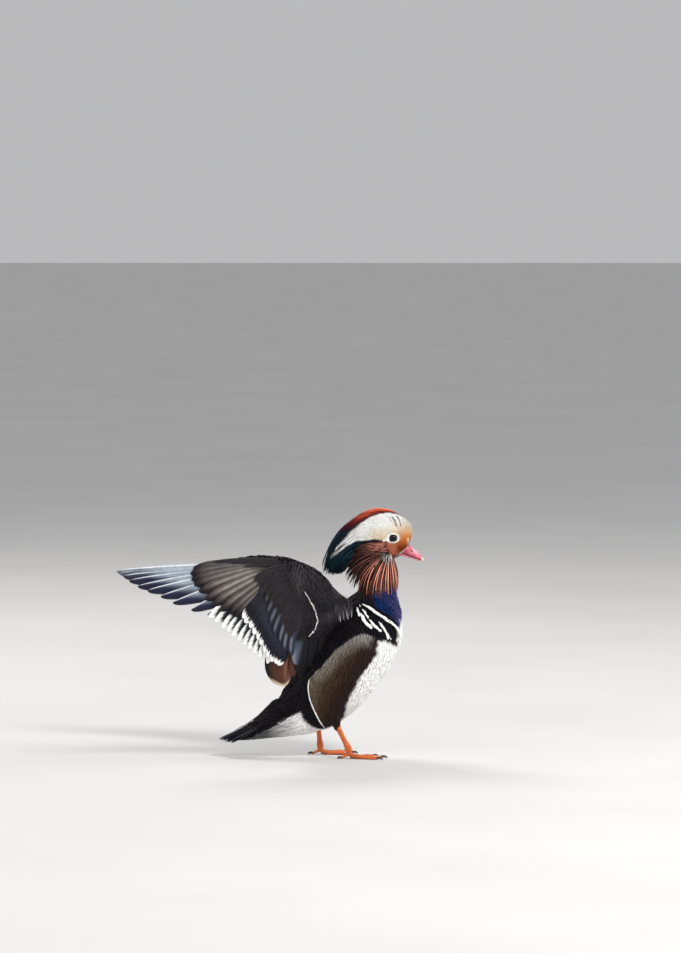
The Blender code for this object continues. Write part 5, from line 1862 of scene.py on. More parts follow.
        # painted shade: each small feather darker towards its root; its edges and tip a little paler
        rim = np.maximum(ramp(shares, 0.8, 1)[:, None], ramp(np.abs(np.linspace(1, -1, 5)), 0.5, 1))
        dark = (0.85 + 0.25 * ramp(shares, 0.1, 0.9))[:, None] * (1 + 0.1 * rim)
        shade = draw.normal(1, 0.08, len(roots))[:, None, None] * dark
        sheaf = Sheaf(f"coat_wing_{side.word}")
        sheaf.add_strands(rings, colour[:, None, None] * shade[..., None], skin.fields(faces))
        return sheaf

    def crescent(self, draw: Draw) -> Sheaf:
        """The white edge where the inner wing folds: thin white feathers laid end over end along an arc."""
        sheaf = Sheaf(f"coat_crescent_{self.side.word}")
        shares = np.linspace(0, 1, len(self.white_shape))
        for start in np.linspace(0, 0.92, self.white_count):
            spots = through(self.white_arc, start + 0.1 * shares) + draw.normal(0, 0.45, 2)
            spots[:, 0] -= 1.6 * shares**2 * draw.uniform(-0.4, 1)
            height = np.interp(spots[:, 0], (-45, -20), (9.8, 7.8)) + 1.2 * shares
            path = self.plan.place(self.plan.point(spots[:, 0], spots[:, 1], height), self.side)
            swell = 0.55 + 0.45 * math.sin(math.pi * min(1, start + 0.06))
            half = self.white_width * swell * draw.uniform(0.6, 1.1) * np.array(self.white_shape)
            rings = strand_rings(path[None], self.plan.upward(self.side), half[None], 0.3, 5)
            tint = Shade.WHITE.linear * draw.uniform(0.35, 0.85)
            sheaf.add_strands(rings, tint, ((0.05 + 0.06 * start, 0.5), TUFT_PATCH))
        return sheaf

    def build(self) -> list[Piece]:
        """Makes the wing's pieces: flight feathers, coverts, small feathers and crescent."""
        draw = np.random.default_rng(self.seed)
        return [
            self.sheaf("flights", self.flights, draw).to_object(self.skin.place, Finishes.VANE),
            self.sheaf("coverts", self.coverts, draw).to_object(self.skin.place, Finishes.COVERT),
            self.small_feathers(draw).to_object(self.skin.place, Finishes.COVERT),
            self.crescent(draw).to_object(self.skin.place, Finishes.COVERT),
        ]


# ---------------------------------------------------------------- tail


@dataclass(frozen=True)
class Fan:
    """A row of tail feathers: the middle one's root and tip (x, z), the row's half widths, its sides' fall."""

    dress: Dress
    count: int
    root: tuple[float, float]
    tip: tuple[float, float]
    half: tuple[float, float]
    fall: tuple[float, float]
    shorter: float
    wide: float


@dataclass(frozen=True)
class Tail:
    """The stiff tail feathers with the coverts over their roots."""

    place: BirdFrame
    seed: int = 61
    side_step: float = 0.3
    stations: int = 20
    columns: int = 7
    fans: tuple[Fan, ...] = (
        Fan(Dress.RECTRIX, 13, (-96, 51), (-158.5, 23), (13, 15), (4.4, 3.6), 17, 12),
        Fan(Dress.TAIL_COVERT, 9, (-80, 62), (-138, 34), (13, 13), (5, 4.4), 12, 11),
        Fan(Dress.TAIL_COVERT, 7, (-70, 78), (-122, 43), (13, 12), (6.4, 5.4), 9, 12),
    )

    def build(self) -> list[Piece]:
        """Makes the tail's vanes as one piece."""
        draw = np.random.default_rng(self.seed)
        sheaf = Sheaf("tail_vanes")
        corners, size = share_map(sum(fan.count for fan in self.fans))
        corners = iter(corners)
        t, s = towards_tip(self.stations), round_trip(np.linspace(1, -1, self.columns))
        for fan in self.fans:
            for share in np.linspace(-1, 1, fan.count):
                far, low = abs(share), self.side_step * (share > 0)
                root = np.array((fan.root[0], share * fan.half[0], fan.root[1] - far * fan.fall[0] - low))
                tip = np.array((fan.tip[0] + fan.shorter * far**1.6, share * fan.half[1],
                                fan.tip[1] - far * fan.fall[1] - low)) + draw.normal(0, 0.35, 3)
                path = root + (tip - root) * t[:, None]
                half = fan.wide / 2 * vane_shape(t, 0.55)
                up = unit(np.array((-0.3, 0.35 * share, 1)))
                rings = strand_rings(path[None], up, half[None], 0.4 - 0.2 * t, self.columns, 0.14, True)
                sheaf.add_strands(rings, fan.dress.colours(t, s, far, draw), (next(corners), size))
        return [sheaf.to_object(self.place, Finishes.TAIL)]


# ---------------------------------------------------------------- crest and ruff


@dataclass(frozen=True)
class Crest:
    """The long silky feathers from crown and nape that sweep back and down to one blunt end.

    Crown and nape are the root, bend and tip (x, z) of the first feather on a side and of the last.
    """

    place: BirdFrame
    markings: Markings
    crown: Outline = ((42, 318), (-4, 317), (-23, 243))
    nape: Outline = ((26, 259), (9, 256), (3, 243))
    rows: int = 64
    layers: int = 2
    width: float = 3.0
    middles: int = 11
    tones: tuple[float, float, float] = (0.74, 1.12, 0.74)
    seed: int = 41
    stations: int = 18

    def curves(self, draw: Draw) -> tuple[Array, Array, Array]:
        """Where the crest's feathers lie.

        Args:
            draw: The random numbers.

        Returns:
            Three points of each feather's curve, the way each one faces, and its width.
        """
        made = []
        crown, nape = np.array(self.crown, float), np.array(self.nape, float)
        for side, layer, row in product(Side, range(self.layers), range(self.rows)):
            low, out = (row + 0.5 * layer) / self.rows, side.value
            flare = 5 + 11 * math.sin(math.pi * (0.12 + 0.62 * low)) - 0.9 * layer
            (root_x, root_z), (x, z), (tip_x, tip_z) = crown + (nape - crown) * low
            root = np.array((root_x, out * flare * 0.8, root_z))
            middle = np.array((x, out * (flare + 1.5), z))
            tip = np.array((tip_x, out * (2.2 + 5 * low), tip_z - 4 * math.sin(math.pi * low)))
            tip = tip + draw.normal(0, (1.8, 0.5, 1.8)) + (middle - tip) * draw.uniform(0, 0.12)
            middle = middle + draw.normal(0, 0.5, 3)
            face = np.array((-0.5 * (1 - low), out * (0.35 + 0.65 * low), 0.85 * (1 - low)))
            controls = (root - (middle - root) * 0.12, middle - face * layer, tip - face * layer)
            made.append((controls, face, self.width * draw.uniform(0.8, 1.15)))
        for side, row in product((-2.2, -1.1, 0, 1.1, 2.2), range(self.middles)):
            share = row / (self.middles - 1) * 2
            root = np.array((83 - 16 * share, side, 312.5 + 4 * share - 0.12 * side**2))
            tip = np.array((26 - 20 * share, side * 1.4, 316 - 10 * share - 6 * share**2 - 0.3 * side**2))
            tip = tip + draw.normal(0, 0.9, 3)
            controls = (root, (root + tip) / 2 + np.array((0, 0, 18.8 - 3 * share)), tip)
            made.append((controls, (-0.4, 0.12 * side, 1), self.width * draw.uniform(0.85, 1.2)))
        controls, faces, widths = zip(*made)
        return np.array(controls), np.array(faces), np.array(widths)

    def build(self) -> list[Piece]:
        """Makes the crest as one piece of narrow vanes."""
        draw = np.random.default_rng(self.seed)
        controls, faces, widths = self.curves(draw)
        shares = np.linspace(0, 1, self.stations)
        close = np.sqrt(np.clip(1 - np.maximum(shares - 0.5, 0) ** 2 / 0.27, 0.02, 1))
        half = 0.5 * widths[:, None] * (close * np.minimum(1, 0.2 + 3 * shares))
        rings = strand_rings(curve(controls, shares), unit(faces)[:, None], half, 0.2, 3, 0.35)
        shade = draw.normal(1, 0.14, len(half))[:, None, None] * np.array(self.tones)
        tints = self.markings.paint(rings)[..., :3] * shade[..., None]
        sheaf = Sheaf("coat_crest")
        sheaf.add_strands(rings, tints, (share_map(len(half), 0)[0], TUFT_PATCH))
        return [sheaf.to_object(self.place, Finishes.CREST)]


@dataclass(frozen=True)
class Plumes:
    """A kind of narrow feather on cheek and ruff: how many, how wide, how far out and how bright.

    Shaft is the width of their pale middle line, as a share of the half width. Span is the share of the full
    length that they reach, hoar is how white they are, and begin is where they start, as a share of that length.
    """

    count: int
    width: float
    out: float
    bright: float
    shaft: float = 0.3
    span: float = 1.0
    hoar: float = 0.0
    begin: float = 0.02


@dataclass(frozen=True)
class Ruff:
    """The hackles that fan from the gape over the sides of the neck, and the fine streaks of the cheek."""

    skin: Skin
    heart: tuple[float, float, float] = (65, 0, 268.5)
    sweeps: tuple[float, float] = (199, 284)
    reaches: Outline = (
        (197, 62), (203, 64), (212, 66), (226, 67), (241, 67), (254, 66), (262, 64), (269, 60), (277, 53),
        (284, 47),
    )
    bends: Outline = ((197, 24), (240, 21), (260, 12), (271, 2), (284, -9))
    # The two lowest layers are dark as painted shade under the upper hackles.
    layers: tuple[Plumes, ...] = (
        Plumes(38, 4.2, 15, 0.13), Plumes(32, 2.6, 17.2, 0.24), Plumes(9, 1.7, 18.6, 0.6),
        Plumes(15, 2.3, 20.2, 1.3), Plumes(13, 1.1, 21.4, 0.02, 0.5, 0.24, 0, 0.22),
        Plumes(13, 0.9, 21.8, 0.7, 0.5, 0.25, 1, 0.22),
    )
    cheek: Outline = (
        (64.5, 267.5), (62.5, 275), (58.5, 281.5), (45, 282), (35, 280.5), (25, 270), (21, 260),
        (28, 252), (40, 256), (50, 264), (60, 269),
    )
    streaks: tuple[Plumes, ...] = (Plumes(420, 2.3, 0.4, 0.36), Plumes(130, 0.8, 1.1, 1.05, 1.2))
    streak_length: float = 13.0
    streak_glow: tuple = ((20, 30, 40, 51, 60), (0.1, 0.2, 0.5, 1.35, 1.4))
    seed: int = 51
    columns: int = 5

    def bend(self, sweep: Array) -> Array:
        """How far, in degrees, a feather that ends at an angle about the heart sets out above it."""
        return np.interp(sweep, *np.array(self.bends).T)

    def hackles(self, side: Side, kind: Plumes, draw: Draw) -> tuple[Array, Array]:
        """One layer of hackles.

        Args:
            side: The side of the head.
            kind: The layer.
            draw: The random numbers.

        Returns:
            Three points of each one's curve, and its share from the ruff's back to its front.
        """
        many = kind.count
        shares = (np.arange(many) + draw.uniform(0.25, 0.75, many)) / many
        sweep = self.sweeps[0] + (self.sweeps[1] - self.sweeps[0]) * shares
        reach = np.interp(sweep, *np.array(self.reaches).T) * draw.uniform(0.88, 1.03, many) * kind.span
        out = np.array((0, side.value, 0)) * (kind.out - 6 * shares[:, None] ** 4)
        controls = []
        for share, lean, lift in ((0, 1.3, 0.8), (0.62, 1, 1.12), (1, 0, 1.08)):
            turn = np.radians(sweep - lean * self.bend(sweep) * draw.normal(1, 0.12, many))
            way = np.stack((np.cos(turn), 0 * turn, np.sin(turn)), axis=-1)
            far = share * reach if share else draw.uniform(kind.begin, kind.begin + 0.18, many) * reach
            controls.append(self.heart + way * far[:, None] + out * lift)
        return np.stack(controls, axis=1), shares

    def cheek_paths(self, side: Side, kind: Plumes, draw: Draw, t: Array) -> tuple[Array, Array]:
        """The thin feathers of the cheek, which sweep back from the gape and turn down.

        Args:
            side: The side of the head.
            kind: The feathers.
            draw: The random numbers.
            t: Stations along them, from 0 to 1.

        Returns:
            Middle lines over the skin and the ways out of it, each shaped (feathers, stations, 3).
        """
        low, high = np.min(self.cheek, axis=0), np.max(self.cheek, axis=0)
        spots = draw.uniform(low, high, (4 * kind.count, 2))
        path = [spots[inside(spots, self.cheek)][: kind.count]]
        many = (len(path[0]), 1)
        stride = self.streak_length * draw.uniform(0.6, 1.2, many) / len(t)
        for _ in t[1:]:
            off = path[-1] - np.array(self.heart)[[0, 2]]
            turn = np.maximum(np.degrees(np.arctan2(off[:, 1], off[:, 0])) % 360, 172)
            turn = np.radians(turn + 1.25 * self.bend(turn) * np.linalg.norm(off, axis=-1) / 62)
            path.append(path[-1] + np.stack((np.cos(turn), np.sin(turn)), axis=-1) * stride)
        flat, normals = self.skin.laid(np.stack(path, axis=1), side)
        return flat + normals * (kind.out + 1.2 * t + draw.uniform(0, 0.5, many))[..., None], normals

    def colours(self, t: Array, share: Array, bright: Array, kind: Plumes) -> Array:
        """Linear colours over feathers: orange brown, a pale shaft, dark edges that are painted shade between the
        hackles, greyish at the roots in front.

        Args:
            t: Stations, from 0 at the root to 1 at the tip.
            share: For each feather, from 0 at the back of the ruff to 1 at its front.
            bright: How bright each is.
            kind: The kind of feather.

        Returns:
            Colours shaped (feathers, stations, columns, 3).
        """
        t, s, share = t[:, None], np.linspace(1, -1, self.columns), share[:, None, None]
        shaft = bell(s, 0, kind.shaft) * ramp(t, 0, 0.12) * (1 - 0.4 * ramp(t, 0.8, 1))
        colour = mix(Shade.CHEEK, Shade.HACKLE, ramp(share, 0.1, 0.6))
        colour = mix(colour, Shade.HACKLE_SHAFT, shaft * (0.35 + 0.55 * ramp(share, 0.2, 0.7)))
        hoar = 0.35 * bell(s, 0, 0.3) * ramp(t, 0.2, 0.08) * ramp(share, 0.3, 0.6)
        colour = mix(colour, Shade.WHITE, np.maximum(hoar, kind.hoar * (1 - 0.4 * t)))
        # painted shade: dark edges for the gaps between the hackles
        edge = ramp(np.abs(s), kind.shaft, kind.shaft + 0.5) * (0.92 - 0.4 * ramp(t, 0.6, 1))
        return np.clip(mix(colour, Shade.HACKLE_EDGE, edge) * bright[:, None, None, None], 0, 1)

    def add(self, sheaf: Sheaf, path: Array, up: Array, half: Array, colours: Array) -> None:
        """Adds feathers to the sheaf.

        Args:
            sheaf: What gathers them.
            path: Their middle lines.
            up: The ways that they face.
            half: Their half widths.
            colours: Their colours.
        """
        fields = self.skin.fields(self.skin.nearest(path[:, 0])[2])
        sheaf.add_strands(strand_rings(path, up, half, 0.25, self.columns, 0.35), colours, fields)

    def build(self) -> list[Piece]:
        """Makes both sides of the ruff and the cheeks as one piece."""
        draw = np.random.default_rng(self.seed)
        sheaf = Sheaf("coat_ruff")
        t = np.linspace(0, 1, 15)
        shape = np.minimum(1, 0.35 + 1.8 * t) * np.clip((1 - t) / 0.5, 0.05, 1) ** 0.8
        for side, kind in product(Side, self.layers):
            controls, share = self.hackles(side, kind, draw)
            up = np.stack((0.35 * share, np.full(len(share), side.value), np.full(len(share), -0.1)), axis=-1)
            half = 0.5 * kind.width * draw.uniform(0.7, 1.2, (len(share), 1)) * shape
            bright = kind.bright ** (1 - 0.7 * ramp(share, 0.8, 1)) * draw.uniform(0.7, 1.25, len(share))
            bright = bright * (0.3 + 0.7 * ramp(share, 0.15, 0.55))
            path = self.clear(curve(controls, t), side)
            self.add(sheaf, path, unit(up)[:, None], half, self.colours(t, share, bright, kind))
        t = np.linspace(0, 1, 8)
        shape = np.minimum(1, 0.4 + 2 * t) * np.clip((1 - t) / 0.6, 0.05, 1)
        for side, kind in product(Side, self.streaks):
            path, normals = self.cheek_paths(side, kind, draw, t)
            x, z = path[:, 0, 0], path[:, 0, 2]
            share = 0.15 + 0.5 * ramp(x, 34, 62) * ramp(274 - z, 0, 16)
            half = 0.5 * kind.width * draw.uniform(0.7, 1.2, (len(path), 1)) * shape
            bright = kind.bright * draw.uniform(0.5, 1.2, len(path)) * np.interp(x, *self.streak_glow)
            self.add(sheaf, path, normals, half, self.colours(t, share, bright, kind))
        return [sheaf.to_object(self.skin.place, Finishes.HACKLE)]

    def clear(self, path: Array, side: Side) -> Array:
        """Hackles pushed out of the skin wherever they would run inside it."""
        skin_half = self.skin.half_width(path, side)
        out = np.maximum(path[..., 1] * side.value, np.where(skin_half > 0, skin_half + 1.6, 0))
        return np.stack((path[..., 0], out * side.value, path[..., 2]), axis=-1)


# ---------------------------------------------------------------- eyes and bill


@dataclass(frozen=True)
class Eye:
    """One eye: a glossy dark ball in a pale rim of skin."""

    side: Side
    skin: Skin
    centre: tuple[float, float, float] = (68.6, 15.6, 286.9)
    radius: float = 6.0
    pupil: float = 2.7
    pupil_colour: Colour = (0.002, 0.002, 0.003)
    iris: float = 5.0
    opening: tuple[float, float] = (6.2, 4.6)
    rim: tuple[float, float] = (8.9, 6.7)
    rim_profile: Outline = ((-0.1, -1), (0, 0.16), (0.05, 0.42), (0.16, 0.62), (0.32, 0.6))
    # painted shade: the rim darkest where it tucks in against the ball, lighter out onto the skin
    rim_tones: tuple[float, ...] = (0.14, 0.5, 0.9, 1, 1, 1, 1, 0.9)
    around: int = 64

    def axes(self) -> tuple[Array, Array, Array, Array]:
        """The ball's centre, the way it looks, and the ways ahead and up across it."""
        middle = np.array(self.centre) * np.array((1, self.side.value, 1))
        look = unit(np.array((0.12, self.side.value, 0.05)))
        up = unit(np.array((0, 0, 1)) - look * look[2])
        return middle, look, np.cross(up, look), up

    def build(self) -> list[Piece]:
        """Makes the ball and its rim."""
        return [self.build_ball(), self.build_rim()]

    def build_ball(self) -> Piece:
        """Makes the ball, with its iris and pupil painted on."""
        middle, look, across, up = self.axes()
        turn = np.linspace(0, 2 * np.pi, self.around, endpoint=False)
        tilt = np.linspace(0.02, np.pi * 0.97, 40)[:, None]
        ring = np.cos(turn)[:, None] * across + np.sin(turn)[:, None] * up
        grid = middle + self.radius * (np.sin(tilt)[..., None] * ring + np.cos(tilt)[..., None] * look)
        off = self.radius * np.sin(tilt)
        fleck = 1 + 0.35 * np.sin(turn * 23 + 4 * np.sin(turn * 5))
        iris = Shade.EYE.linear * fleck[:, None]
        colour = mix(iris, np.array(self.pupil_colour), ramp(off, self.pupil + 0.25, self.pupil - 0.25))
        colour = mix(colour, Shade.EYE.linear * 0.5, ramp(off, self.iris - 0.6, self.iris))
        sheaf = Sheaf(f"eyeball_{self.side.word}")
        sheaf.add_strands(grid[None], colour, flip=self.side is Side.RIGHT)
        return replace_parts(sheaf.to_object(self.skin.place, Finishes.EYE), f"eye_{self.side.word}")

    def build_rim(self) -> Piece:
        """Makes the pale rim, from the opening over the ball out onto the skin."""
        middle, look, across, up = self.axes()
        turn = np.linspace(0, 2 * np.pi, self.around, endpoint=False)
        wide = 1 + 0.1 * np.maximum(0, -np.cos(turn)) ** 6
        round_way = np.cos(turn)[:, None] * across + np.sin(turn)[:, None] * up
        ovals = (self.opening, self.rim)
        inner, outer = (np.hypot(x * np.cos(turn) * wide, z * np.sin(turn)) for x, z in ovals)
        low = self.skin.nearest(middle + look * self.radius * 0.4 + round_way * outer[:, None])[0]
        rings = []
        for share, lift in self.rim_profile:
            off = inner + share * (outer - inner)
            high = np.sqrt(np.maximum(self.radius**2 - off**2, 1)) + lift
            rings.append(middle + round_way * off[:, None] + look * high[:, None])
        crest = rings[-1]
        rings += [crest + (low - look * 0.25 * share - crest) * share for share in (0.35, 0.7, 1)]
        tints = Shade.LID.linear * np.array(self.rim_tones)[:, None, None]
        sheaf = Sheaf(f"eyelid_{self.side.word}")
        sheaf.add_strands(np.array(rings)[None], tints, flip=self.side is Side.RIGHT)
        return sheaf.to_object(self.skin.place, Finishes.LID)


@dataclass(frozen=True)
class Bill:
    """The small pink bill: rows of distance along the mouth, height over it or depth under it, half width."""

    place: BirdFrame
    back: tuple[float, float, float] = (80, 0, 266.5)
    front: tuple[float, float, float] = (107.9, 0, 256.3)
    upper: tuple = ((-6, 10, 7), (0, 13, 7.5), (5.6, 12.8, 7), (11, 11, 6), (17, 9, 5.2),
                    (23.4, 6.2, 4.9), (27.6, 4, 4.3), (29.6, 2.6, 3), (30.4, 1.6, 1.2))
    lower: tuple = ((-6, 4.4, 6), (0, 4.2, 6.2), (8, 3.2, 5.6), (17, 2.6, 4.4), (24, 2.2, 4),
                    (28, 1.7, 3.2), (29.2, 1.2, 1.6))
    mouth_gap: float = 0.05
    nostril: tuple[float, float] = (11.6, 7)
    nostril_half: tuple[float, float] = (2.6, 1.1)
    nostril_turn: float = 0.35
    rings: int = 90
    around: int = 72

    def build(self) -> list[Piece]:
        """Makes both halves of the bill."""
        return [self.build_half("bill_upper", self.upper, 1), self.build_half("bill_lower", self.lower, -1)]

    def build_half(self, node: str, rows: tuple, sign: int) -> Piece:
        """Makes one half.

        Args:
            node: The solid that it stands for.
            rows: Its sections.
            sign: 1 for the upper half, -1 for the lower.

        Returns:
            The half as a piece.
        """
        along, high, wide = through(rows, np.linspace(0, 1, self.rings) ** 0.9).T[..., None]
        turn = np.linspace(0, 2 * np.pi, self.around, endpoint=False)
        rise = 0.5 - 0.5 * np.cos(turn)
        squeeze = 1 - (0.34 if sign > 0 else 0.2) * rise**1.5 + 0.1 * bell(rise, 0.1, 0.1)
        up = sign * (self.mouth_gap + rise * high)
        hole = self.nostril_cover(along, up) if sign > 0 else 0 * up
        side = wide * np.sin(turn) * squeeze
        side = side - np.sign(side) * 1.5 * hole
        back = np.array(self.back)
        ahead = unit(np.array(self.front) - back)
        above = np.array((-ahead[2], 0, ahead[0]))
        grid = back + along[..., None] * ahead + up[..., None] * above + side[..., None] * np.array((0, 1, 0))
        sheaf = Sheaf(node + "_horn")
        sheaf.add_strands(grid[None], self.colours(along, up, hole, grid), flip=sign < 0)
        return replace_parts(sheaf.to_object(self.place, Finishes.BILL), node)

    def nostril_cover(self, along: Array, up: Array) -> Array:
        """How deep in a nostril each place is, from 0 to 1."""
        u, v = along - self.nostril[0], up - self.nostril[1]
        cos, sin = math.cos(self.nostril_turn), math.sin(self.nostril_turn)
        long, short = self.nostril_half
        return ramp(np.hypot((u * cos - v * sin) / long, (u * sin + v * cos) / short), 1.25, 0.45)

    def colours(self, along: Array, up: Array, hole: Array, grid: Array) -> Array:
        """The horn's colours: pink, a painted highlight on the ridge, deep at the root, painted shade along the
        mouth and in the nostrils, and a pale nail.

        Args:
            along: Distance along the mouth line.
            up: Height over it.
            hole: How deep in a nostril.
            grid: The places.

        Returns:
            Linear colours.
        """
        deep = Shade.BILL_DEEP.linear
        layers = (
            # painted highlight along the ridge
            (Shade.BILL_PALE, 0.7 * ramp(up, 4.5, 8.5) * ramp(along, 8, 14)),
            (deep, 0.8 * ramp(along, 12, 6) * ramp(up, 0.5, 3) * ramp(up, 11.5, 8.5)),
            # painted shade along the slit between the halves
            (deep * 0.5, 0.6 * ramp(np.abs(up), 1.5, 0.5)),
            (Shade.NAIL, 0.85 * ramp(along, 25.5, 28.5)),
            # painted shade: the nostrils' hollows nearly black
            (deep * 0.12, ramp(hole, 0.3, 0.85)),
        )
        colour = mix(Shade.BILL, deep, 0.35 + 0.35 * noise(grid, 5, 2))
        for shade, cover in layers:
            colour = mix(colour, shade, cover)
        return colour


# ---------------------------------------------------------------- legs and feet


@dataclass(frozen=True)
class Foot:
    """One bare shank with its webbed foot and claws."""

    leg: Leg
    place: BirdFrame
    rises: Outline = ((0, 6.2), (0.2, 3.3), (0.42, 2.5), (0.8, 2.1), (1, 1.5))
    hind_rises: Outline = ((0, 6.5), (0.5, 3.6), (1, 1.3))
    shank: tuple[float, ...] = (4.6, 3.5, 3.0, 2.9, 3.2, 4.1, 3.4)
    shank_rings: int = 24
    girth: tuple[float, ...] = (1.3, 1.15, 1.02, 0.92, 0.66)
    stations: int = 22
    hind_size: float = 0.8
    hind_claw: float = 0.75
    smoothing: int = 5
    web_thickness: float = 1.3
    scutes: float = 0.42

    def toes(self) -> list[Array]:
        """The middle lines of the three front toes and the hind toe."""
        lines = [self.leg.toe_line(angle, length, self.rises) for angle, length in self.leg.toes]
        return lines + [self.leg.toe_line(*self.leg.hind_toe, self.hind_rises)]

    def build(self) -> list[Piece]:
        """Makes the skin of shank and foot, and the claws."""
        return [self.build_skin(), self.build_claws()]

    def build_skin(self) -> Piece:
        """Makes shank, toes and webs as one skin."""
        leg, word = self.leg, self.leg.side.word
        rough = Sheaf(f"foot_skin_{word}")
        ankle, joint, hip = leg.point(leg.ankle), leg.point(leg.joint), leg.point(leg.hip)
        shares = np.linspace(0, 1, self.shank_rings)
        top, end = ankle + (hip - ankle) * 0.35, joint - unit(ankle - joint) * 3
        line = top + (end - top) * shares[:, None]
        radii = through(np.array(self.shank)[:, None], shares)[:, 0]
        rough.add_strands(tube(line, radii, 20, np.full(self.shank_rings, 1.12))[None])
        shares = np.linspace(0, 1, self.stations)
        girth = through(np.array(self.girth)[:, None], shares)[:, 0] * leg.toe_radius
        girth = girth * (1 + 0.1 * np.cos(shares * 2 * np.pi * 2.6 + 0.6))
        toes = self.toes()
        for toe, size in zip(toes, (1, 1, 1, self.hind_size)):
            rough.add_strands(tube(toe, girth * size, 18, np.full(self.stations, 0.86))[None])
        for first, second in ((0, 1), (1, 2)):
            rough.add_strands(self.web_grid(toes[first], toes[second])[None])
        mesh = rough.melt(self.place, leg.voxel, self.smoothing)
        points = (fetch(mesh.vertices, "co", 3) - self.place.shift()) / MM
        points[:, 2] = np.maximum(points[:, 2], 0)
        store(mesh.vertices, "co", self.place.to_model(points))
        tint_mesh(mesh, self.colours(points, [*toes, line]))
        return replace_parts(adopt(rough.name, mesh, Finishes.LEG), f"leg_{word}", f"foot_{word}")

    def web_grid(self, first: Array, second: Array) -> Array:
        """The web between two toes, with a hollow front edge.

        Args:
            first: One toe's middle line.
            second: The other's.

        Returns:
            Rings of points, over the web's upper side and back under it.
        """
        across = np.linspace(0.04, 0.96, 14)
        hollow = 4 * across * (1 - across)
        shares = np.linspace(0.05, 1, 20)[:, None] * (0.93 - 0.15 * hollow)
        left, right = (through(toe, shares.ravel()).reshape(*shares.shape, 3) for toe in (first, second))
        top = left + (right - left) * across[:, None]
        under = top.copy()
        high = np.minimum(top[..., 2], 2.6) * (1 - 0.34 * hollow)
        top[..., 2] = high + 0.25 * np.sin(across * 9 * np.pi) * shares
        under[..., 2] = np.maximum(high - self.web_thickness, 0.05)
        return np.concatenate([top, under[:, ::-1]], axis=1)

    def colours(self, points: Array, lines: list[Array]) -> Array:
        """The foot's colours, with the count of scutes from the joint as a fourth value.

        Args:
            points: Places on the skin.
            lines: The middle lines of the toes and the shank.

        Returns:
            Linear colours with a fourth value.
        """
        far = np.stack([np.linalg.norm(points[:, None] - line, axis=-1).min(1) for line in lines])
        along = np.stack([(points - line[0]) @ unit(line[-1] - line[0]) for line in lines])
        along = along[far.argmin(0), np.arange(len(points))]
        colour = blend_shades((Shade.SHANK, Shade.SHANK_PALE), (-0.4, 1.8), noise(points, 6, 15))
        web = ramp(far.min(0), 2.4, 4.4) * ramp(points[:, 2], 9, 6)
        # webs darker brown; then painted shade: everything within about a millimetre of the floor darker
        colour = mix(mix(colour, Shade.WEB, 0.85 * web), Shade.WEB, 0.45 * ramp(points[:, 2], 1.1, 0.2))
        return np.column_stack([colour, np.where(web > 0.5, 0.5, along * self.scutes)])

    def build_claws(self) -> Piece:
        """Makes the four claws as one piece."""
        sheaf = Sheaf(f"claws_{self.leg.side.word}")
        shares = np.linspace(0, 1, 14)
        rise = through(((0.5,), (1.1,), (-0.9,)), shares)
        tints = Shade.CLAW.linear * np.interp(shares, (0, 0.4, 1), (1.9, 1, 0.6))[:, None, None]
        for toe, size in zip(self.toes(), (1, 1, 1, self.hind_claw)):
            way = unit((toe[-1] - toe[0]) * np.array((1, 1, 0)))
            length = self.leg.claw * size
            out = through(((-2.2,), (0.5 * length,), (length,)), shares)
            path = toe[-1] + way * out + np.array((0, 0, 1)) * rise
            grid = tube(path, 1.45 * np.sqrt(np.clip(1 - shares**1.6, 0.012, 1)), 14, np.full(14, 1.15))
            grid[..., 2] = np.maximum(grid[..., 2], 0.15)
            sheaf.add_strands(grid[None], tints)
        return sheaf.to_object(self.place, Finishes.CLAW)


# ---------------------------------------------------------------- studio


@dataclass(frozen=True)
class Lamp:
    """A soft square light: where it stands from the bird, its size in metres, its power and its colour."""

    name: str
    place: tuple[float, float, float]
    size: float
    power: float
    colour: Colour


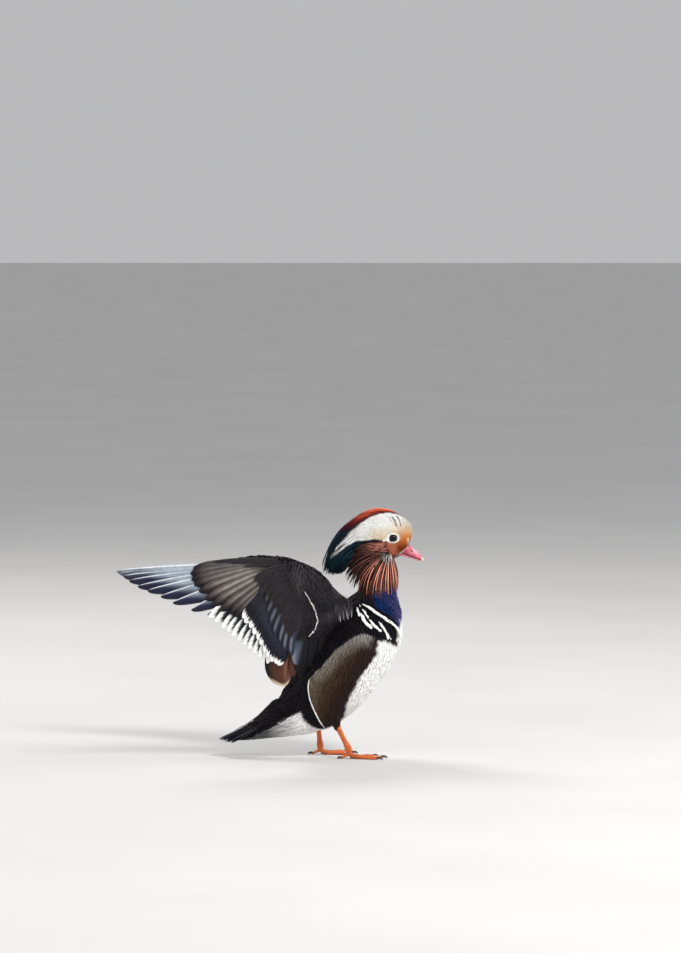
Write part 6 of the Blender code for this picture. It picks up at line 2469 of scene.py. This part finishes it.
@dataclass(frozen=True)
class Studio:
    """Camera, floor, world and lights round the bird."""

    place: BirdFrame
    stand: tuple[float, float, float] = (0.00065, -6.6, 0.785)
    target: tuple[float, float, float] = (0.00065, 0.0, 0.366)
    view_height: float = 1.239
    backdrop: Colour = (0.62, 0.62, 0.63)
    backdrop_light: float = 0.8
    aim: tuple[float, float, float] = (0.0, 0.0, 0.18)
    floor_reach: float = 30.0
    floor_colour: Colour = (0.66, 0.655, 0.65)
    lamps: tuple[Lamp, ...] = (
        Lamp("key", (1.5, -2, 2.6), 0.9, 80, (1, 0.965, 0.92)),
        Lamp("fill", (-2.2, -2.6, 1.2), 2.4, 24, (0.9, 0.95, 1)),
        Lamp("rim", (-1.2, 1.8, 2.4), 1, 40, (1, 0.98, 0.95)),
        Lamp("front", (2.6, 0.2, 0.9), 1.4, 34, (0.95, 0.97, 1)),
    )

    def build(self) -> None:
        """Sets up the camera, the floor, the world's light and the lamps."""
        shift = Vector(self.place.shift().tolist())
        self.build_camera(shift)
        self.build_floor(shift)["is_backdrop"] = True
        world = bpy.data.worlds.new("studio")
        world.use_nodes = True
        background = world.node_tree.nodes["Background"].inputs
        background["Color"].default_value = (*self.backdrop, 1)
        background["Strength"].default_value = self.backdrop_light
        bpy.context.scene.world = world
        for lamp in self.lamps:
            light = bpy.data.lights.new(lamp.name, "AREA")
            light.size, light.energy, light.color = lamp.size, lamp.power, lamp.colour
            self.aim_item(new_item(lamp.name, light), shift + Vector(lamp.place), shift + Vector(self.aim))
        bpy.context.scene.view_settings.view_transform = "Standard"

    def aim_item(self, item: Piece, place: Vector, target: Vector) -> None:
        """Stands a lamp or camera at a place and turns it to a target."""
        item.location = place
        item.rotation_euler = (target - place).to_track_quat("-Z", "Y").to_euler()

    def build_camera(self, shift: Vector) -> None:
        """Stands the camera before the bird's right side.

        Args:
            shift: The bird frame's origin.
        """
        lens = bpy.data.cameras.new("camera")
        camera = new_item("camera", lens)
        place, target = shift + Vector(self.stand), shift + Vector(self.target)
        self.aim_item(camera, place, target)
        lens.sensor_width = 36.0
        lens.lens = lens.sensor_width * (target - place).length / self.view_height
        lens.clip_end = 100.0
        bpy.context.scene.camera = camera

    def build_floor(self, shift: Vector) -> Piece:
        """Makes the wide plain floor.

        Args:
            shift: The bird frame's origin.

        Returns:
            The floor.
        """
        mesh = bpy.data.meshes.new("floor")
        far, level = self.floor_reach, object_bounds()[0][2]
        ways = ((-1, -1), (1, -1), (1, 1), (-1, 1))
        corners = [(shift.x + far * u, shift.y + far * v, level) for u, v in ways]
        mesh.from_pydata(corners, [], [(0, 1, 2, 3)])
        weaver = Weaver("pale_floor")
        tone = weaver.varied(weaver.grain(3), 0.99, 0.03)
        weaver.fill(weaver.shader.inputs["Base Color"], weaver.scaled(self.floor_colour, tone))
        weaver.fill(weaver.shader.inputs["Roughness"], weaver.varied(weaver.grain(40), 0.775, 0.075))
        mesh.materials.append(weaver.material)
        return new_item("floor", mesh)


def main() -> None:
    """Builds the bird from the skin outwards and reports each piece, then sets up the studio."""
    logging.basicConfig(level=logging.INFO, format="%(message)s")
    place, markings, plan = BirdFrame(), Markings(), WingPlan()
    skin = Skin(place, markings, plan)
    makers = (
        skin, BodyCoat(skin, markings), Trims(skin), *(Wing(side, plan, skin) for side in Side), Tail(place),
        Crest(place, markings), Ruff(skin), *(Eye(side, skin) for side in Side), Bill(place),
        *(Foot(leg, place) for leg in LEGS),
    )
    for maker in makers:
        for piece in maker.build():
            log.info("%s: %d faces", piece.name, len(piece.data.polygons))
    Studio(place).build()
    log.info("studio: camera, floor and %d lamps", len(Studio.lamps))


if __name__ == "__main__":
    main()
